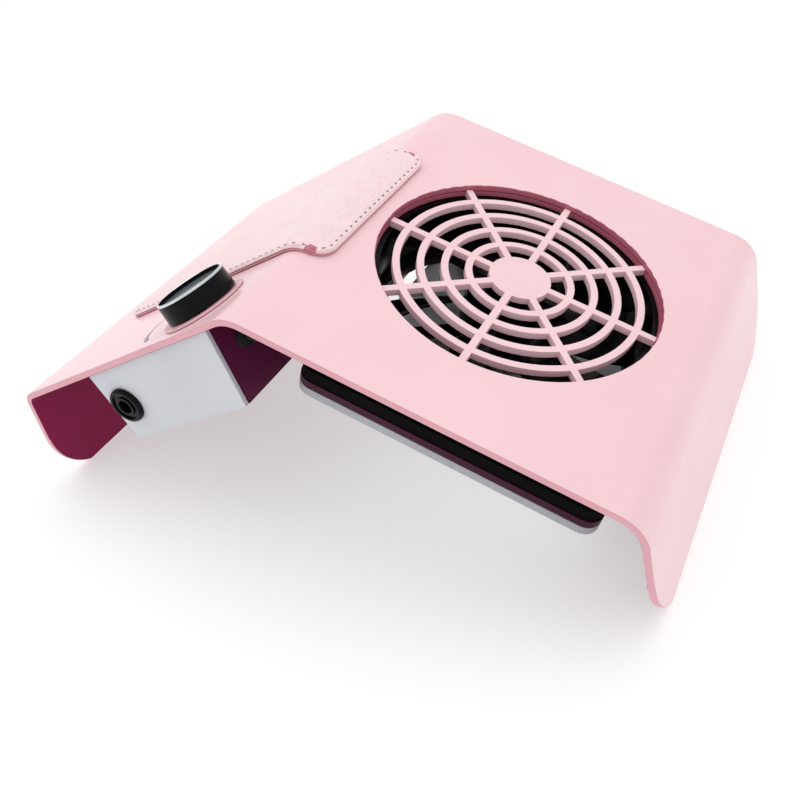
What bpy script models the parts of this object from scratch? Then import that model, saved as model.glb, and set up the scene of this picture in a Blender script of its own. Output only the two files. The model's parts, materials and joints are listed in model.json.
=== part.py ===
"""Nail dust collector: a bent sheet stand with a fan under its grille and a leather hand rest.

The stand is one sheet bent three times: a rear flap, a rear panel that carries the hand rest
and the speed knob, a ridge, a front panel with the round grille, and a front flap. Under the
rear panel hangs the control box, under the front panel the fan and the dust bag.

World frame: +X towards the front flap, +Y away from the side that carries the power inlet,
+Z up, origin at the middle of the sheet's footprint. Everything fixed to a sloping panel is
built in that panel's own frame, whose origin is on the ridge line, whose X axis runs along the
panel towards the front and whose Z axis is the panel's outward normal. Lengths are in metres.
"""
import math

import bmesh
import bpy
from mathutils import Matrix, Vector

MM = 0.001
GAP = 0.3 * MM              # clearance between two pieces that touch
FINE = 1e-7                 # distance under which two points are one

# Bent sheet, measured on its outer face between the sharp corners of its outline
SHEET_WIDTH = 188 * MM
SHEET = 3 * MM
RIDGE_HEIGHT = 113.5 * MM
REAR_RUN = 137 * MM
REAR_SHOULDER = 52 * MM
REAR_SPLAY = 2.5 * MM
FRONT_RUN = 149.5 * MM
FRONT_SHOULDER = 52 * MM
FRONT_SPLAY = 3.5 * MM
RIDGE_RADIUS = 16 * MM
REAR_RADIUS = 8 * MM
FRONT_RADIUS = 16 * MM
FLAP_CORNER = 26 * MM
BEND_STEPS = 7
CORNER_STEPS = 7

# Fan's outline, which the grille, the gasket and the bag's frame follow
FAN_SIZE = 120 * MM
FAN_ALONG = 79.2 * MM       # fan's and grille's axis, from the ridge down the front panel
FAN_DEPTH = 25 * MM
FAN_WALL = 2.5 * MM         # duct's wall at the middle of each side
FAN_HOLE_INSET = 7.5 * MM
FAN_CORNER = 5 * MM

# Grille
GRILLE_SINK = 2.2 * MM      # top of the bars below the outer face
BAR_WIDTH = 3 * MM
BAR_DEPTH = 3 * MM
RING_COUNT = 4
GRILLE_HUB = 13 * MM
GRILLE_FLANGE = 4 * MM
SPOKES = 8
SPOKE_CELLS = 5

# Fan's insides
HUB_RADIUS = 20 * MM
HUB_WALL = 1.5 * MM
BLADE_TIP_GAP = 2.5 * MM
BLADES = 7
BLADE_THICK = 1.6 * MM
BLADE_PITCH = math.radians(38)
BLADE_TIP_PITCH = math.radians(29)
BLADE_SWEEP = math.radians(16)
BLADE_CHORD = 16 * MM
BLADE_TIP_CHORD = 25 * MM
BLADE_SECTIONS = 5
HUB_CHAMFER = 1 * MM
HUB_ROOF = 2 * MM
ROTOR_DROP = 2 * MM         # rotor below the fan's upper face
ROTOR_LIFT = 1.5 * MM       # rotor above the motor plate
MAGNET_WALL = 2 * MM
MAGNET_LIFT = 1 * MM
SHAFT_RADIUS = 1.5 * MM
BEARING_RADIUS = 4 * MM
BEARING_DEPTH = 3 * MM
BEARING_LIFT = 2 * MM
BEARING_SPREAD = 9 * MM
MOTOR_PLATE = 2 * MM
MOTOR_RIM = 1 * MM          # motor plate's edge inside the hub
TUBE_WALL = 1 * MM
TUBE_HEIGHT = 15 * MM
STRUT_WIDTH = 5 * MM
STRUT_RISE = 1 * MM         # struts above the motor plate
STRUT_ROOT = 3 * MM         # struts' start inside the hub's outline
STRUT_END = 1 * MM          # struts' end in the duct's wall
CORE_LOW = 4 * MM           # stator core above the motor plate
CORE_HEIGHT = 7 * MM
CORE_WALL = 2.1 * MM
CORE_LAP = 0.8 * MM         # arms' start inside the core
ARM_WIDTH = 3 * MM
ARM_MARGIN = 5 * MM         # arms' end inside the rotor's wall
SHOE_WIDTH = 10 * MM
SHOE_BACK = 1 * MM
SHOE_FACE = 0.8 * MM
COIL_WIDTH = 6.4 * MM
COIL_RISE = 1.5 * MM        # coils past the core's faces
LINK_INSET = 0.5 * MM
LINK_LOW = 0.6 * MM         # ring that links the coils, above the core
LINK_HIGH = 1.2 * MM
STUD_RADIUS = 1.6 * MM
STUD_CLEARANCE = 0.4 * MM
NUT_RADIUS = 3.2 * MM
NUT_HEIGHT = 2.4 * MM
NUT_ROOM = 1 * MM           # round a nut, and the stud's length past it

# Gasket, bag frame and dust bag
GASKET_DEPTH = 5.5 * MM
GASKET_INSET = 0.5 * MM     # gasket's sides inside the bag's frame
BAG_OVERHANG = 5.2 * MM      # bag's frame past the fan, along the panel
BAG_SHIFT = 5.5 * MM        # bag's frame past the fan's axis, towards the front
BAG_CORNER = 7 * MM
BAG_PLATE = 3.5 * MM
BAG_LIP = 4 * MM            # frame's bore inside the fan's outline
POST_RADIUS = 2.6 * MM
POST_CLEARANCE = 1.9 * MM   # between a post and the fan's side
POST_INSET = 7 * MM
SCREW_HEAD = 2.8 * MM
SCREW_SHANK = 1.2 * MM
SCREW_HEAD_DEPTH = 1.7 * MM
SCREW_REACH = 8 * MM        # shank's length inside its post
HEM_WIDTH = 5 * MM
HEM_DEPTH = 3.9 * MM
BAG_SAG = 9.5 * MM
BAG_CURVE = ((0, 0), (4 * MM, 0.55), (12 * MM, 0.88), (26 * MM, 1))     # inset and share of the sag

# Hand rest
REST_WIDTH = 90 * MM
REST_REAR = 119 * MM        # rear edge, from the ridge along the rear panel
REST_FRONT = 13 * MM        # front edge, from the ridge along the front panel
REST_CORNER = 8 * MM
REST_BACKING = 0.8 * MM
REST_PAD = 2.6 * MM

# Knob and potentiometer
KNOB_BACK = 31.8 * MM
KNOB_EDGE = 21.5 * MM       # knob's axis from the sheet's near edge
KNOB_TOP_RADIUS = 14.8 * MM
KNOB_BASE_RADIUS = 15.2 * MM
KNOB_HEIGHT = 8 * MM
KNOB_CLEARANCE = 0.3 * MM
KNOB_CAVITY_RADIUS = 11.5 * MM
KNOB_CAVITY = 2.4 * MM
KNOB_HUB = 6.5 * MM
KNOB_RIM_WIDTH = 1.6 * MM
KNOB_RIM_HEIGHT = 0.7 * MM
KNOB_FACE = 0.45 * MM
BEZEL_RADIUS = 18 * MM
BEZEL_BORE = 8 * MM
BEZEL_HEIGHT = 0.7 * MM
SPINDLE_RADIUS = 3 * MM
BUSHING_WALL = 0.7 * MM
BUSHING_RISE = 2.7 * MM
POT_NUT_RADIUS = 6 * MM
POT_NUT_HEIGHT = 2 * MM
POT_RADIUS = 8.5 * MM
POT_DEPTH = 8 * MM

# Control box
BOX_FRONT_TOP = 16.1 * MM
BOX_FRONT_BOTTOM = 23.9 * MM
BOX_REAR = 100.4 * MM
BOX_DEPTH = 34.5 * MM
BOX_EDGE = 2.8 * MM         # near end's face inside the sheet's near edge
BOX_WIDTH = 96 * MM
BOX_WALL = 1.5 * MM
BOX_FLANGE = 6.5 * MM
BOX_END = 2.2 * MM
BOX_STUD_RADIUS = 1 * MM
BOX_STUD_INSET = 4.4 * MM
RIVET_HEAD = 0.7 * MM
BOX_STUD_MARGIN = 12 * MM

# Power inlet
INLET_BACK = 89.2 * MM
INLET_DROP = 21.1 * MM
INLET_FLANGE = 8.3 * MM
INLET_FLANGE_DEPTH = 2.1 * MM
INLET_BARREL = 5.4 * MM
INLET_LENGTH = 13 * MM
INLET_SOCKET = 3.2 * MM
INLET_SOCKET_DEPTH = 9 * MM
INLET_PIN = 1 * MM
INLET_CHAMFER = 1 * MM
INLET_NUT_RADIUS = 7.8 * MM

# Circuit board
BOARD_LENGTH = 52 * MM
BOARD_WIDTH = 66 * MM
BOARD_THICK = 1.6 * MM
BOARD_BACK = 66 * MM
BOARD_SPACER = 3 * MM
BOARD_INSET = 5 * MM
CAPACITOR = (-14 * MM, -14 * MM, 6 * MM, 16 * MM)       # place on the board, radius and height
INDUCTOR = (-12 * MM, 16 * MM, 8 * MM, 6 * MM)
INDUCTOR_BORE = 4 * MM
HEATSINK_LOW = (9.5 * MM, -8 * MM)                      # plate's corners on the board
HEATSINK_HIGH = (12 * MM, 12 * MM)
HEATSINK_HEIGHT = 15 * MM
FIN_REACH = 8 * MM
FIN_ROOT = 1 * MM
FIN_THICK = 1.2 * MM
FIN_PITCH = 5.5 * MM
FIN_COUNT = 4
FIN_START = -7 * MM
TRANSISTOR_LOW = (5.2 * MM, -3 * MM)
TRANSISTOR_HIGH = (9.2 * MM, 7 * MM)
TRANSISTOR_HEIGHT = 11 * MM
TERMINAL_LOW = (12 * MM, -30 * MM)
TERMINAL_HIGH = (22 * MM, -14 * MM)
TERMINAL_HEIGHT = 10 * MM

# Fan lead
LEAD_RADIUS = 1.9 * MM
LEAD_EDGE = 15.2 * MM       # grommet's axis from the box's near end
LEAD_FAN_INSET = 10 * MM    # lead's end from the fan's near side
LEAD_DROP = SHEET + 12.5 * MM   # grommet below the rear panel's outer face
LEAD_TAIL = 8 * MM
LEAD_SAG = 5 * MM
LEAD_POINTS = 15
LEAD_MOUTH = 5 * MM         # lead's straight length before the wall and before the fan
LEAD_ENTRY = 3 * MM
GROMMET_WALL = 2.1 * MM
GROMMET_DEPTH = 2.2 * MM

GRILLE_RADIUS = FAN_SIZE / 2
FAN_DUCT = FAN_SIZE / 2 - FAN_WALL
FAN_PITCH = FAN_SIZE - 2 * FAN_HOLE_INSET
BAG_LENGTH = FAN_SIZE + 2 * BAG_OVERHANG
BAG_WIDTH = FAN_SIZE + 2 * (POST_CLEARANCE + POST_RADIUS + POST_INSET)
BAG_ALONG = FAN_ALONG + BAG_SHIFT
BAG_OPENING = FAN_SIZE / 2 - BAG_LIP
KNOB_SIDE = SHEET_WIDTH / 2 - KNOB_EDGE
BOX_NEAR = SHEET_WIDTH / 2 - BOX_EDGE
REAR_ANGLE = math.atan2(RIDGE_HEIGHT - REAR_SHOULDER, REAR_RUN)
FRONT_ANGLE = math.atan2(RIDGE_HEIGHT - FRONT_SHOULDER, FRONT_RUN)
RIDGE_X = (REAR_RUN + REAR_SPLAY - FRONT_RUN - FRONT_SPLAY) / 2


def clear_scene():
    """Remove whatever objects the file starts with."""
    for item in list(bpy.data.objects):
        bpy.data.objects.remove(item, do_unlink=True)


def finish(name, colour, roughness, metallic):
    """Return a Principled material in one plain colour."""
    material = bpy.data.materials.new(name)
    material.use_nodes = True
    shader = material.node_tree.nodes["Principled BSDF"]
    shader.inputs["Base Color"].default_value = (*colour, 1)
    shader.inputs["Roughness"].default_value = roughness
    shader.inputs["Metallic"].default_value = metallic
    return material


def add_part(name, mesh_data, material, parent=None, place=Matrix(), smooth=False):
    """Turn a bmesh into a named object under a parent empty."""
    mesh = bpy.data.meshes.new(name)
    mesh_data.to_mesh(mesh)
    mesh_data.free()
    mesh.materials.append(material)
    if smooth:
        mesh.shade_smooth()
        mesh.set_sharp_from_angle(angle=math.radians(35))
    part = bpy.data.objects.new(name, mesh)
    bpy.context.scene.collection.objects.link(part)
    part.parent = parent
    part.matrix_basis = place
    return part


def add_frame(name, place):
    """Return an empty that carries the parts of one panel."""
    frame = bpy.data.objects.new(name, None)
    bpy.context.scene.collection.objects.link(frame)
    frame.matrix_basis = place
    return frame


def carve(part, name, mesh_data, parent=None, place=Matrix(), operation="DIFFERENCE"):
    """Combine a hidden helper shape with a part through an exact Boolean."""
    mesh = bpy.data.meshes.new(name)
    mesh_data.to_mesh(mesh)
    mesh_data.free()
    helper = bpy.data.objects.new(name, mesh)
    bpy.context.scene.collection.objects.link(helper)
    helper.parent = parent
    helper.matrix_basis = place
    helper.hide_render = True
    helper.display_type = "WIRE"
    cut = part.modifiers.new(name, "BOOLEAN")
    cut.operation = operation
    cut.solver = "EXACT"
    cut.object = helper


def move(x=0.0, y=0.0, z=0.0):
    """Return a translation."""
    return Matrix.Translation((x, y, z))


def join(pieces):
    """Return one bmesh that holds several separate bmeshes."""
    joined = bmesh.new()
    for piece in pieces:
        mesh = bpy.data.meshes.new("piece")
        piece.to_mesh(mesh)
        piece.free()
        joined.from_mesh(mesh)
        bpy.data.meshes.remove(mesh)
    return joined


def moved(piece, matrix):
    """Return the bmesh after moving its points."""
    bmesh.ops.transform(piece, matrix=matrix, verts=piece.verts)
    return piece


def turned(profile, segments):
    """Return a solid of revolution about Z; a profile that starts at radius 0 also ends there."""
    shape = bmesh.new()
    points = [shape.verts.new((radius, 0, height)) for radius, height in profile]
    edges = [shape.edges.new(pair) for pair in zip(points, points[1:])]
    if profile[0][0] > 0:
        edges.append(shape.edges.new((points[-1], points[0])))
    bmesh.ops.spin(shape, geom=points + edges, cent=(0, 0, 0), axis=(0, 0, 1),
                   angle=math.tau, steps=segments, use_merge=True, use_duplicate=False)
    bmesh.ops.remove_doubles(shape, verts=shape.verts, dist=FINE)
    bmesh.ops.recalc_face_normals(shape, faces=shape.faces)
    return shape


def tube(inner, outer, low, high, segments):
    """Return a ring with a square section."""
    return turned([(inner, low), (outer, low), (outer, high), (inner, high)], segments)


def rod(radius, low, high, segments):
    """Return a round bar about Z."""
    return turned([(0, low), (radius, low), (radius, high), (0, high)], segments)


def nut(bore, radius, low, high):
    """Return a hexagon nut about Z; the radius reaches its corners."""
    shape = bmesh.new()
    flat = radius * math.cos(math.pi / 6)
    rings = []
    sides = (((radius, flat), low), ((radius, flat), high), ((bore, bore), high), ((bore, bore), low))
    for reach, height in sides:
        rings.append([shape.verts.new((reach[step % 2] * math.cos(step * math.pi / 6),
                                       reach[step % 2] * math.sin(step * math.pi / 6), height))
                      for step in range(12)])
    for index, ring in enumerate(rings):
        following = rings[(index + 1) % len(rings)]
        for step in range(12):
            after = (step + 1) % 12
            shape.faces.new((ring[step], ring[after], following[after], following[step]))
    bmesh.ops.recalc_face_normals(shape, faces=shape.faces)
    return shape


def prism(outline, low, high):
    """Return an outline in XY, drawn anticlockwise, extruded from low to high."""
    shape = bmesh.new()
    base = shape.faces.new([shape.verts.new((x, y, low)) for x, y in outline])
    top = bmesh.ops.extrude_face_region(shape, geom=[base])
    corners = [item for item in top["geom"] if isinstance(item, bmesh.types.BMVert)]
    bmesh.ops.translate(shape, vec=(0, 0, high - low), verts=corners)
    bmesh.ops.recalc_face_normals(shape, faces=shape.faces)
    return shape


def block(low, high):
    """Return a box between two corners."""
    outline = [(low[0], low[1]), (high[0], low[1]), (high[0], high[1]), (low[0], high[1])]
    return prism(outline, low[2], high[2])


def rounded_outline(low_x, high_x, width, radius, steps=CORNER_STEPS):
    """Return a rectangle with round corners, centred on y = 0."""
    outline = []
    corners = [(high_x - radius, width / 2 - radius, 0.0),
               (low_x + radius, width / 2 - radius, 0.5 * math.pi),
               (low_x + radius, radius - width / 2, math.pi),
               (high_x - radius, radius - width / 2, 1.5 * math.pi)]
    for centre_x, centre_y, start in corners:
        for step in range(steps + 1):
            angle = start + 0.5 * math.pi * step / steps
            outline.append((centre_x + radius * math.cos(angle),
                            centre_y + radius * math.sin(angle)))
    return outline


def loft(sections):
    """Return a closed solid through outlines of equal length, each a (outline, height) pair."""
    shape = bmesh.new()
    rings = [[shape.verts.new((x, y, height)) for x, y in outline] for outline, height in sections]
    for lower, upper in zip(rings, rings[1:]):
        for index, point in enumerate(lower):
            after = (index + 1) % len(lower)
            shape.faces.new((point, lower[after], upper[after], upper[index]))
    shape.faces.new(rings[0])
    shape.faces.new(rings[-1])
    bmesh.ops.recalc_face_normals(shape, faces=shape.faces)
    return shape


def four_corners(middle_x, pitch_x, pitch_y, middle_y=0.0):
    """Return the corners of a rectangle."""
    return [(middle_x + side_x * pitch_x / 2, middle_y + side_y * pitch_y / 2)
            for side_x in (-1, 1) for side_y in (-1, 1)]


def add_copies(name, places, mesh_data, material, parent, base=Matrix(), smooth=False):
    """Turn one bmesh into numbered objects at several places in XY of the parent's frame."""
    first = add_part(f"{name}_1", mesh_data, material, parent, base @ move(*places[0]), smooth)
    for number, place in enumerate(places[1:], 2):
        part = bpy.data.objects.new(f"{name}_{number}", first.data)
        bpy.context.scene.collection.objects.link(part)
        part.parent = parent
        part.matrix_basis = base @ move(*place)


def at_each(places, maker):
    """Return copies of a small shape at several places in XY, as one bmesh."""
    return join([moved(maker(), move(x, y)) for x, y in places])


def sheet_path():
    """Return the sheet's outer face from the rear foot to the front foot.

    Each station is (distance along the face, point, outward normal), both in the XZ plane.
    """
    rear_foot = Vector((RIDGE_X - REAR_RUN - REAR_SPLAY, 0))
    rear = Vector((RIDGE_X - REAR_RUN, REAR_SHOULDER))
    ridge = Vector((RIDGE_X, RIDGE_HEIGHT))
    front = Vector((RIDGE_X + FRONT_RUN, FRONT_SHOULDER))
    front_foot = Vector((RIDGE_X + FRONT_RUN + FRONT_SPLAY, 0))
    rear_foot += (rear_foot - rear).normalized() * SHEET
    front_foot += (front_foot - front).normalized() * SHEET
    points = [(rear_foot, side_of(rear - rear_foot))]
    for before, corner, after, radius in ((rear_foot, rear, ridge, REAR_RADIUS),
                                          (rear, ridge, front, RIDGE_RADIUS),
                                          (ridge, front, front_foot, FRONT_RADIUS)):
        first = side_of(corner - before)
        last = side_of(after - corner)
        turn = first.angle(last)
        centre = corner - (first + last).normalized() * radius / math.cos(turn / 2)
        for step in range(BEND_STEPS + 1):
            share = step / BEND_STEPS
            normal = Matrix.Rotation(-turn * share, 2) @ first
            points.append((centre + normal * radius, normal))
    points.append((front_foot, side_of(front_foot - front)))
    stations = [(0.0, *points[0])]
    for point, normal in points[1:]:
        distance = stations[-1][0] + (point - stations[-1][1]).length
        stations.append((distance, point, normal))
    return stations


def side_of(direction):
    """Return the outward normal of a stretch that runs towards the front."""
    return Vector((-direction.y, direction.x)).normalized()


def ridge_distance(stations):
    """Return the distance along the face of the ridge's crown."""
    middle = 1 + (BEND_STEPS + 1) + BEND_STEPS // 2
    return (stations[middle][0] + stations[middle + 1][0]) / 2


def bend(flat, stations):
    """Wrap a flat solid round the sheet; its X is the distance along, its Z the height above."""
    for distance, _, _ in stations:
        geometry = flat.verts[:] + flat.edges[:] + flat.faces[:]
        bmesh.ops.bisect_plane(flat, geom=geometry, dist=FINE, plane_co=(distance, 0, 0),
                               plane_no=(1, 0, 0))
    for corner in flat.verts:
        along, across, rise = corner.co
        for (start, first, first_normal), (end, last, last_normal) in zip(stations, stations[1:]):
            if along <= end + FINE:
                break
        share = (along - start) / (end - start)
        point = first.lerp(last, share) + first_normal.lerp(last_normal, share) * rise
        corner.co = (point.x, across, point.y)
    bmesh.ops.recalc_face_normals(flat, faces=flat.faces)
    return flat


def build_sheet(rear, front, pink):
    """Bend the stand out of one flat blank, trim its feet level and cut its holes."""
    stations = sheet_path()
    outline = rounded_outline(0, stations[-1][0], SHEET_WIDTH, FLAP_CORNER + SHEET)
    sheet = bend(prism(outline, -SHEET, 0), stations)
    geometry = sheet.verts[:] + sheet.edges[:] + sheet.faces[:]
    bmesh.ops.bisect_plane(sheet, geom=geometry, dist=FINE, plane_co=(0, 0, 0),
                           plane_no=(0, 0, -1), clear_outer=True)
    open_edges = [edge for edge in sheet.edges if edge.is_boundary]
    bmesh.ops.holes_fill(sheet, edges=open_edges)
    bmesh.ops.recalc_face_normals(sheet, faces=sheet.faces)
    shell = add_part("shell", sheet, pink)
    carve(shell, "grille_hole", rod(GRILLE_RADIUS, -2 * SHEET, SHEET, 80), front,
          move(FAN_ALONG))
    bore = SPINDLE_RADIUS + BUSHING_WALL + 2 * GAP
    carve(shell, "spindle_hole", rod(bore, -2 * SHEET, SHEET, 20), rear, move(-KNOB_BACK, -KNOB_SIDE))


def build_hand_rest(leather, backing):
    """Lay the pad and its backing over the rear panel and the ridge."""
    stations = sheet_path()
    ridge = ridge_distance(stations)
    outline = rounded_outline(ridge - REST_REAR, ridge + REST_FRONT, REST_WIDTH, REST_CORNER, 5)
    low = GAP
    add_part("hand_rest_backing", bend(prism(outline, low, low + REST_BACKING), stations), backing)
    low += REST_BACKING + GAP
    add_part("hand_rest_pad", bend(prism(outline, low, low + REST_PAD), stations), leather)


def build_grille(front, pink):
    """Cut the round grille as rings and spokes, with a glue flange under the sheet."""
    half = BAR_WIDTH / 2
    edge = GRILLE_RADIUS - GAP
    radii = [GRILLE_HUB]
    space = (edge - GRILLE_HUB - RING_COUNT * BAR_WIDTH) / (RING_COUNT + 1)
    for ring in range(RING_COUNT):
        inner = GRILLE_HUB + space + ring * (space + BAR_WIDTH)
        radii += [inner, inner + BAR_WIDTH]
    radii += [edge, edge + GRILLE_FLANGE]
    shape = bmesh.new()
    rings = []
    for radius in radii:
        spread = math.asin(half / radius)
        row = []
        for spoke in range(SPOKES):
            start = spoke * math.tau / SPOKES + spread
            sweep = math.tau / SPOKES - 2 * spread
            angles = [start - 2 * spread]
            angles += [start + sweep * cell / SPOKE_CELLS for cell in range(SPOKE_CELLS)]
            row += [shape.verts.new((radius * math.cos(a), radius * math.sin(a), 0)) for a in angles]
        rings.append(row)
    raised = [shape.faces.new(rings[0])]
    flange = []
    cells = SPOKE_CELLS + 1
    for index, (inner, outer) in enumerate(zip(rings, rings[1:])):
        between_rings = index % 2 == 0
        is_flange = index == len(radii) - 2
        for cell in range(len(inner)):
            if between_rings and not is_flange and cell % cells:
                continue
            after = (cell + 1) % len(inner)
            face = shape.faces.new((inner[cell], outer[cell], outer[after], inner[after]))
            (flange if is_flange else raised).append(face)
    step = SHEET + GAP - GRILLE_SINK
    lower = bmesh.ops.extrude_face_region(shape, geom=shape.faces[:])
    top = [item for item in lower["geom"] if isinstance(item, bmesh.types.BMVert)]
    bmesh.ops.translate(shape, vec=(0, 0, BAR_DEPTH - step), verts=top)
    reach = edge + FINE
    bars = [face for face in lower["geom"] if isinstance(face, bmesh.types.BMFace)
            and max(corner.co.xy.length for corner in face.verts) <= reach]
    upper = bmesh.ops.extrude_face_region(shape, geom=bars)
    bmesh.ops.delete(shape, geom=[face for face in bars if face.is_valid], context="FACES")
    top = [item for item in upper["geom"] if isinstance(item, bmesh.types.BMVert)]
    bmesh.ops.translate(shape, vec=(0, 0, step), verts=top)
    bmesh.ops.recalc_face_normals(shape, faces=shape.faces)
    add_part("grille", shape, pink, front, move(FAN_ALONG, 0, -GRILLE_SINK - BAR_DEPTH))


def build_knob(rear, black, silver, glass, rose, steel, brass):
    """Stand the speed knob on its potentiometer, near the corner of the rear panel."""
    place = move(-KNOB_BACK, -KNOB_SIDE)
    add_part("knob_bezel", tube(BEZEL_BORE, BEZEL_RADIUS, GAP, GAP + BEZEL_HEIGHT, 40), rose,
             rear, place, smooth=True)
    low = GAP + BEZEL_HEIGHT + KNOB_CLEARANCE
    top = low + KNOB_HEIGHT
    bore = SPINDLE_RADIUS + GAP
    cavity = low + KNOB_CAVITY
    seat = BUSHING_RISE + 2 * GAP
    profile = [(0, top), (KNOB_TOP_RADIUS, top), (KNOB_BASE_RADIUS, low), (KNOB_CAVITY_RADIUS, low),
               (KNOB_CAVITY_RADIUS, cavity), (KNOB_HUB, cavity), (KNOB_HUB, seat), (bore, seat),
               (bore, top - 2 * KNOB_RIM_HEIGHT), (0, top - 2 * KNOB_RIM_HEIGHT)]
    add_part("knob_body", turned(profile, 40), black, rear, place, smooth=True)
    rim_inner = KNOB_TOP_RADIUS - KNOB_RIM_WIDTH
    add_part("knob_rim", tube(rim_inner, KNOB_TOP_RADIUS, top + GAP, top + GAP + KNOB_RIM_HEIGHT, 40),
             silver, rear, place, smooth=True)
    add_part("knob_face", rod(rim_inner - GAP, top + GAP, top + GAP + KNOB_FACE, 40), glass,
             rear, place, smooth=True)
    bushing = SPINDLE_RADIUS + GAP + BUSHING_WALL
    floor = -SHEET - GAP
    profile = [(bore, BUSHING_RISE), (bushing, BUSHING_RISE), (bushing, floor), (POT_RADIUS, floor),
               (POT_RADIUS, floor - POT_DEPTH), (bore, floor - POT_DEPTH)]
    add_part("potentiometer", turned(profile, 20), steel, rear, place, smooth=True)
    add_part("potentiometer_nut", nut(bushing + GAP, POT_NUT_RADIUS, GAP, GAP + POT_NUT_HEIGHT), brass,
             rear, place)
    add_part("spindle", rod(SPINDLE_RADIUS, floor - POT_DEPTH, top - 2 * KNOB_RIM_HEIGHT - GAP, 20),
             steel, rear, place, smooth=True)


def box_section(inset, flange_cover):
    """Return the control box's section in (along, height), shrunk by an inset on every side."""
    top = -SHEET - GAP - flange_cover
    low = -SHEET - GAP - BOX_DEPTH + inset
    lean = (BOX_FRONT_BOTTOM - BOX_FRONT_TOP) / BOX_DEPTH
    slant = inset * math.hypot(1, lean)
    front_top = -BOX_FRONT_TOP - slant - lean * flange_cover
    front_low = -BOX_FRONT_BOTTOM - slant + lean * inset
    return [(front_top, top), (front_low, low), (-BOX_REAR + inset, low), (-BOX_REAR + inset, top)]


def along_y(outline, start, end):
    """Return an outline in (X, Z) extruded along Y."""
    upright = Matrix.Rotation(math.pi / 2, 4, "X")
    return moved(prism(outline, -end, -start), upright)


def build_control_box(rear, white, plum, steel):
    """Fold the channel that hangs under the rear panel and close its two ends."""
    near = -BOX_NEAR + BOX_END + GAP
    far = -BOX_NEAR + BOX_WIDTH - BOX_END - GAP
    outer = box_section(0, 0)
    inner = box_section(BOX_WALL, BOX_WALL)
    flange_front = (outer[0][0] - BOX_FLANGE, outer[0][1])
    flange_rear = (outer[3][0] + BOX_FLANGE, outer[3][1])
    outline = [flange_front, *outer, flange_rear, (flange_rear[0], inner[3][1])]
    outline += [inner[3], inner[2], inner[1], inner[0], (flange_front[0], inner[0][1])]
    channel = along_y(outline, near, far)
    body = add_part("control_box_body", channel, plum, rear)
    middle = (near + far) / 2
    pitch_y = far - near - 2 * BOX_STUD_MARGIN
    rear_line = -BOX_REAR + BOX_STUD_INSET
    front_line = -BOX_FRONT_TOP - BOX_STUD_INSET
    corners = four_corners((rear_line + front_line) / 2, front_line - rear_line, pitch_y, middle)
    ceiling = -SHEET - GAP
    hole = BOX_STUD_RADIUS + STUD_CLEARANCE
    carve(body, "flange_holes",
          at_each(corners, lambda: rod(hole, ceiling - 2 * BOX_WALL, ceiling + BOX_WALL, 12)), rear)
    low = ceiling - BOX_WALL - GAP
    rivet = [(0, low - RIVET_HEAD), (hole + RIVET_HEAD, low - RIVET_HEAD), (hole + RIVET_HEAD, low),
             (BOX_STUD_RADIUS, low), (BOX_STUD_RADIUS, ceiling), (0, ceiling)]
    add_copies("box_rivet", corners, turned(rivet, 12), steel, rear, smooth=True)
    ends = (("control_box_end_near", -BOX_NEAR), ("control_box_end_far", far + GAP))
    for name, start in ends:
        end = add_part(name, along_y(box_section(0, 0), start, start + BOX_END), white, rear)
        if start == -BOX_NEAR:
            carve(end, "inlet_hole", moved(rod(INLET_BARREL + GAP, -BOX_END, 2 * BOX_END, 24),
                                           inlet_place()), rear)


def inlet_place():
    """Return the inlet's frame: its Z axis runs into the box from the near end's outer face."""
    turn = Matrix.Rotation(-math.pi / 2, 4, "X")
    return move(-INLET_BACK, -BOX_NEAR, -INLET_DROP) @ turn


def build_inlet(rear, black, brass, steel):
    """Fit the round low-voltage inlet into the near end of the box."""
    place = inlet_place()
    profile = [(0, INLET_SOCKET_DEPTH), (INLET_SOCKET, INLET_SOCKET_DEPTH),
               (INLET_SOCKET, -GAP - INLET_FLANGE_DEPTH),
               (INLET_FLANGE - INLET_CHAMFER, -GAP - INLET_FLANGE_DEPTH),
               (INLET_FLANGE, -GAP - INLET_FLANGE_DEPTH / 2), (INLET_FLANGE, -GAP),
               (INLET_BARREL, -GAP), (INLET_BARREL, INLET_LENGTH), (0, INLET_LENGTH)]
    add_part("power_inlet", turned(profile, 28), black, rear, place, smooth=True)
    add_part("inlet_pin", rod(INLET_PIN, GAP, INLET_SOCKET_DEPTH - GAP, 12), brass, rear, place,
             smooth=True)
    add_part("inlet_nut", nut(INLET_BARREL + GAP, INLET_NUT_RADIUS, BOX_END + GAP,
                              BOX_END + GAP + NUT_HEIGHT), steel, rear, place)


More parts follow.
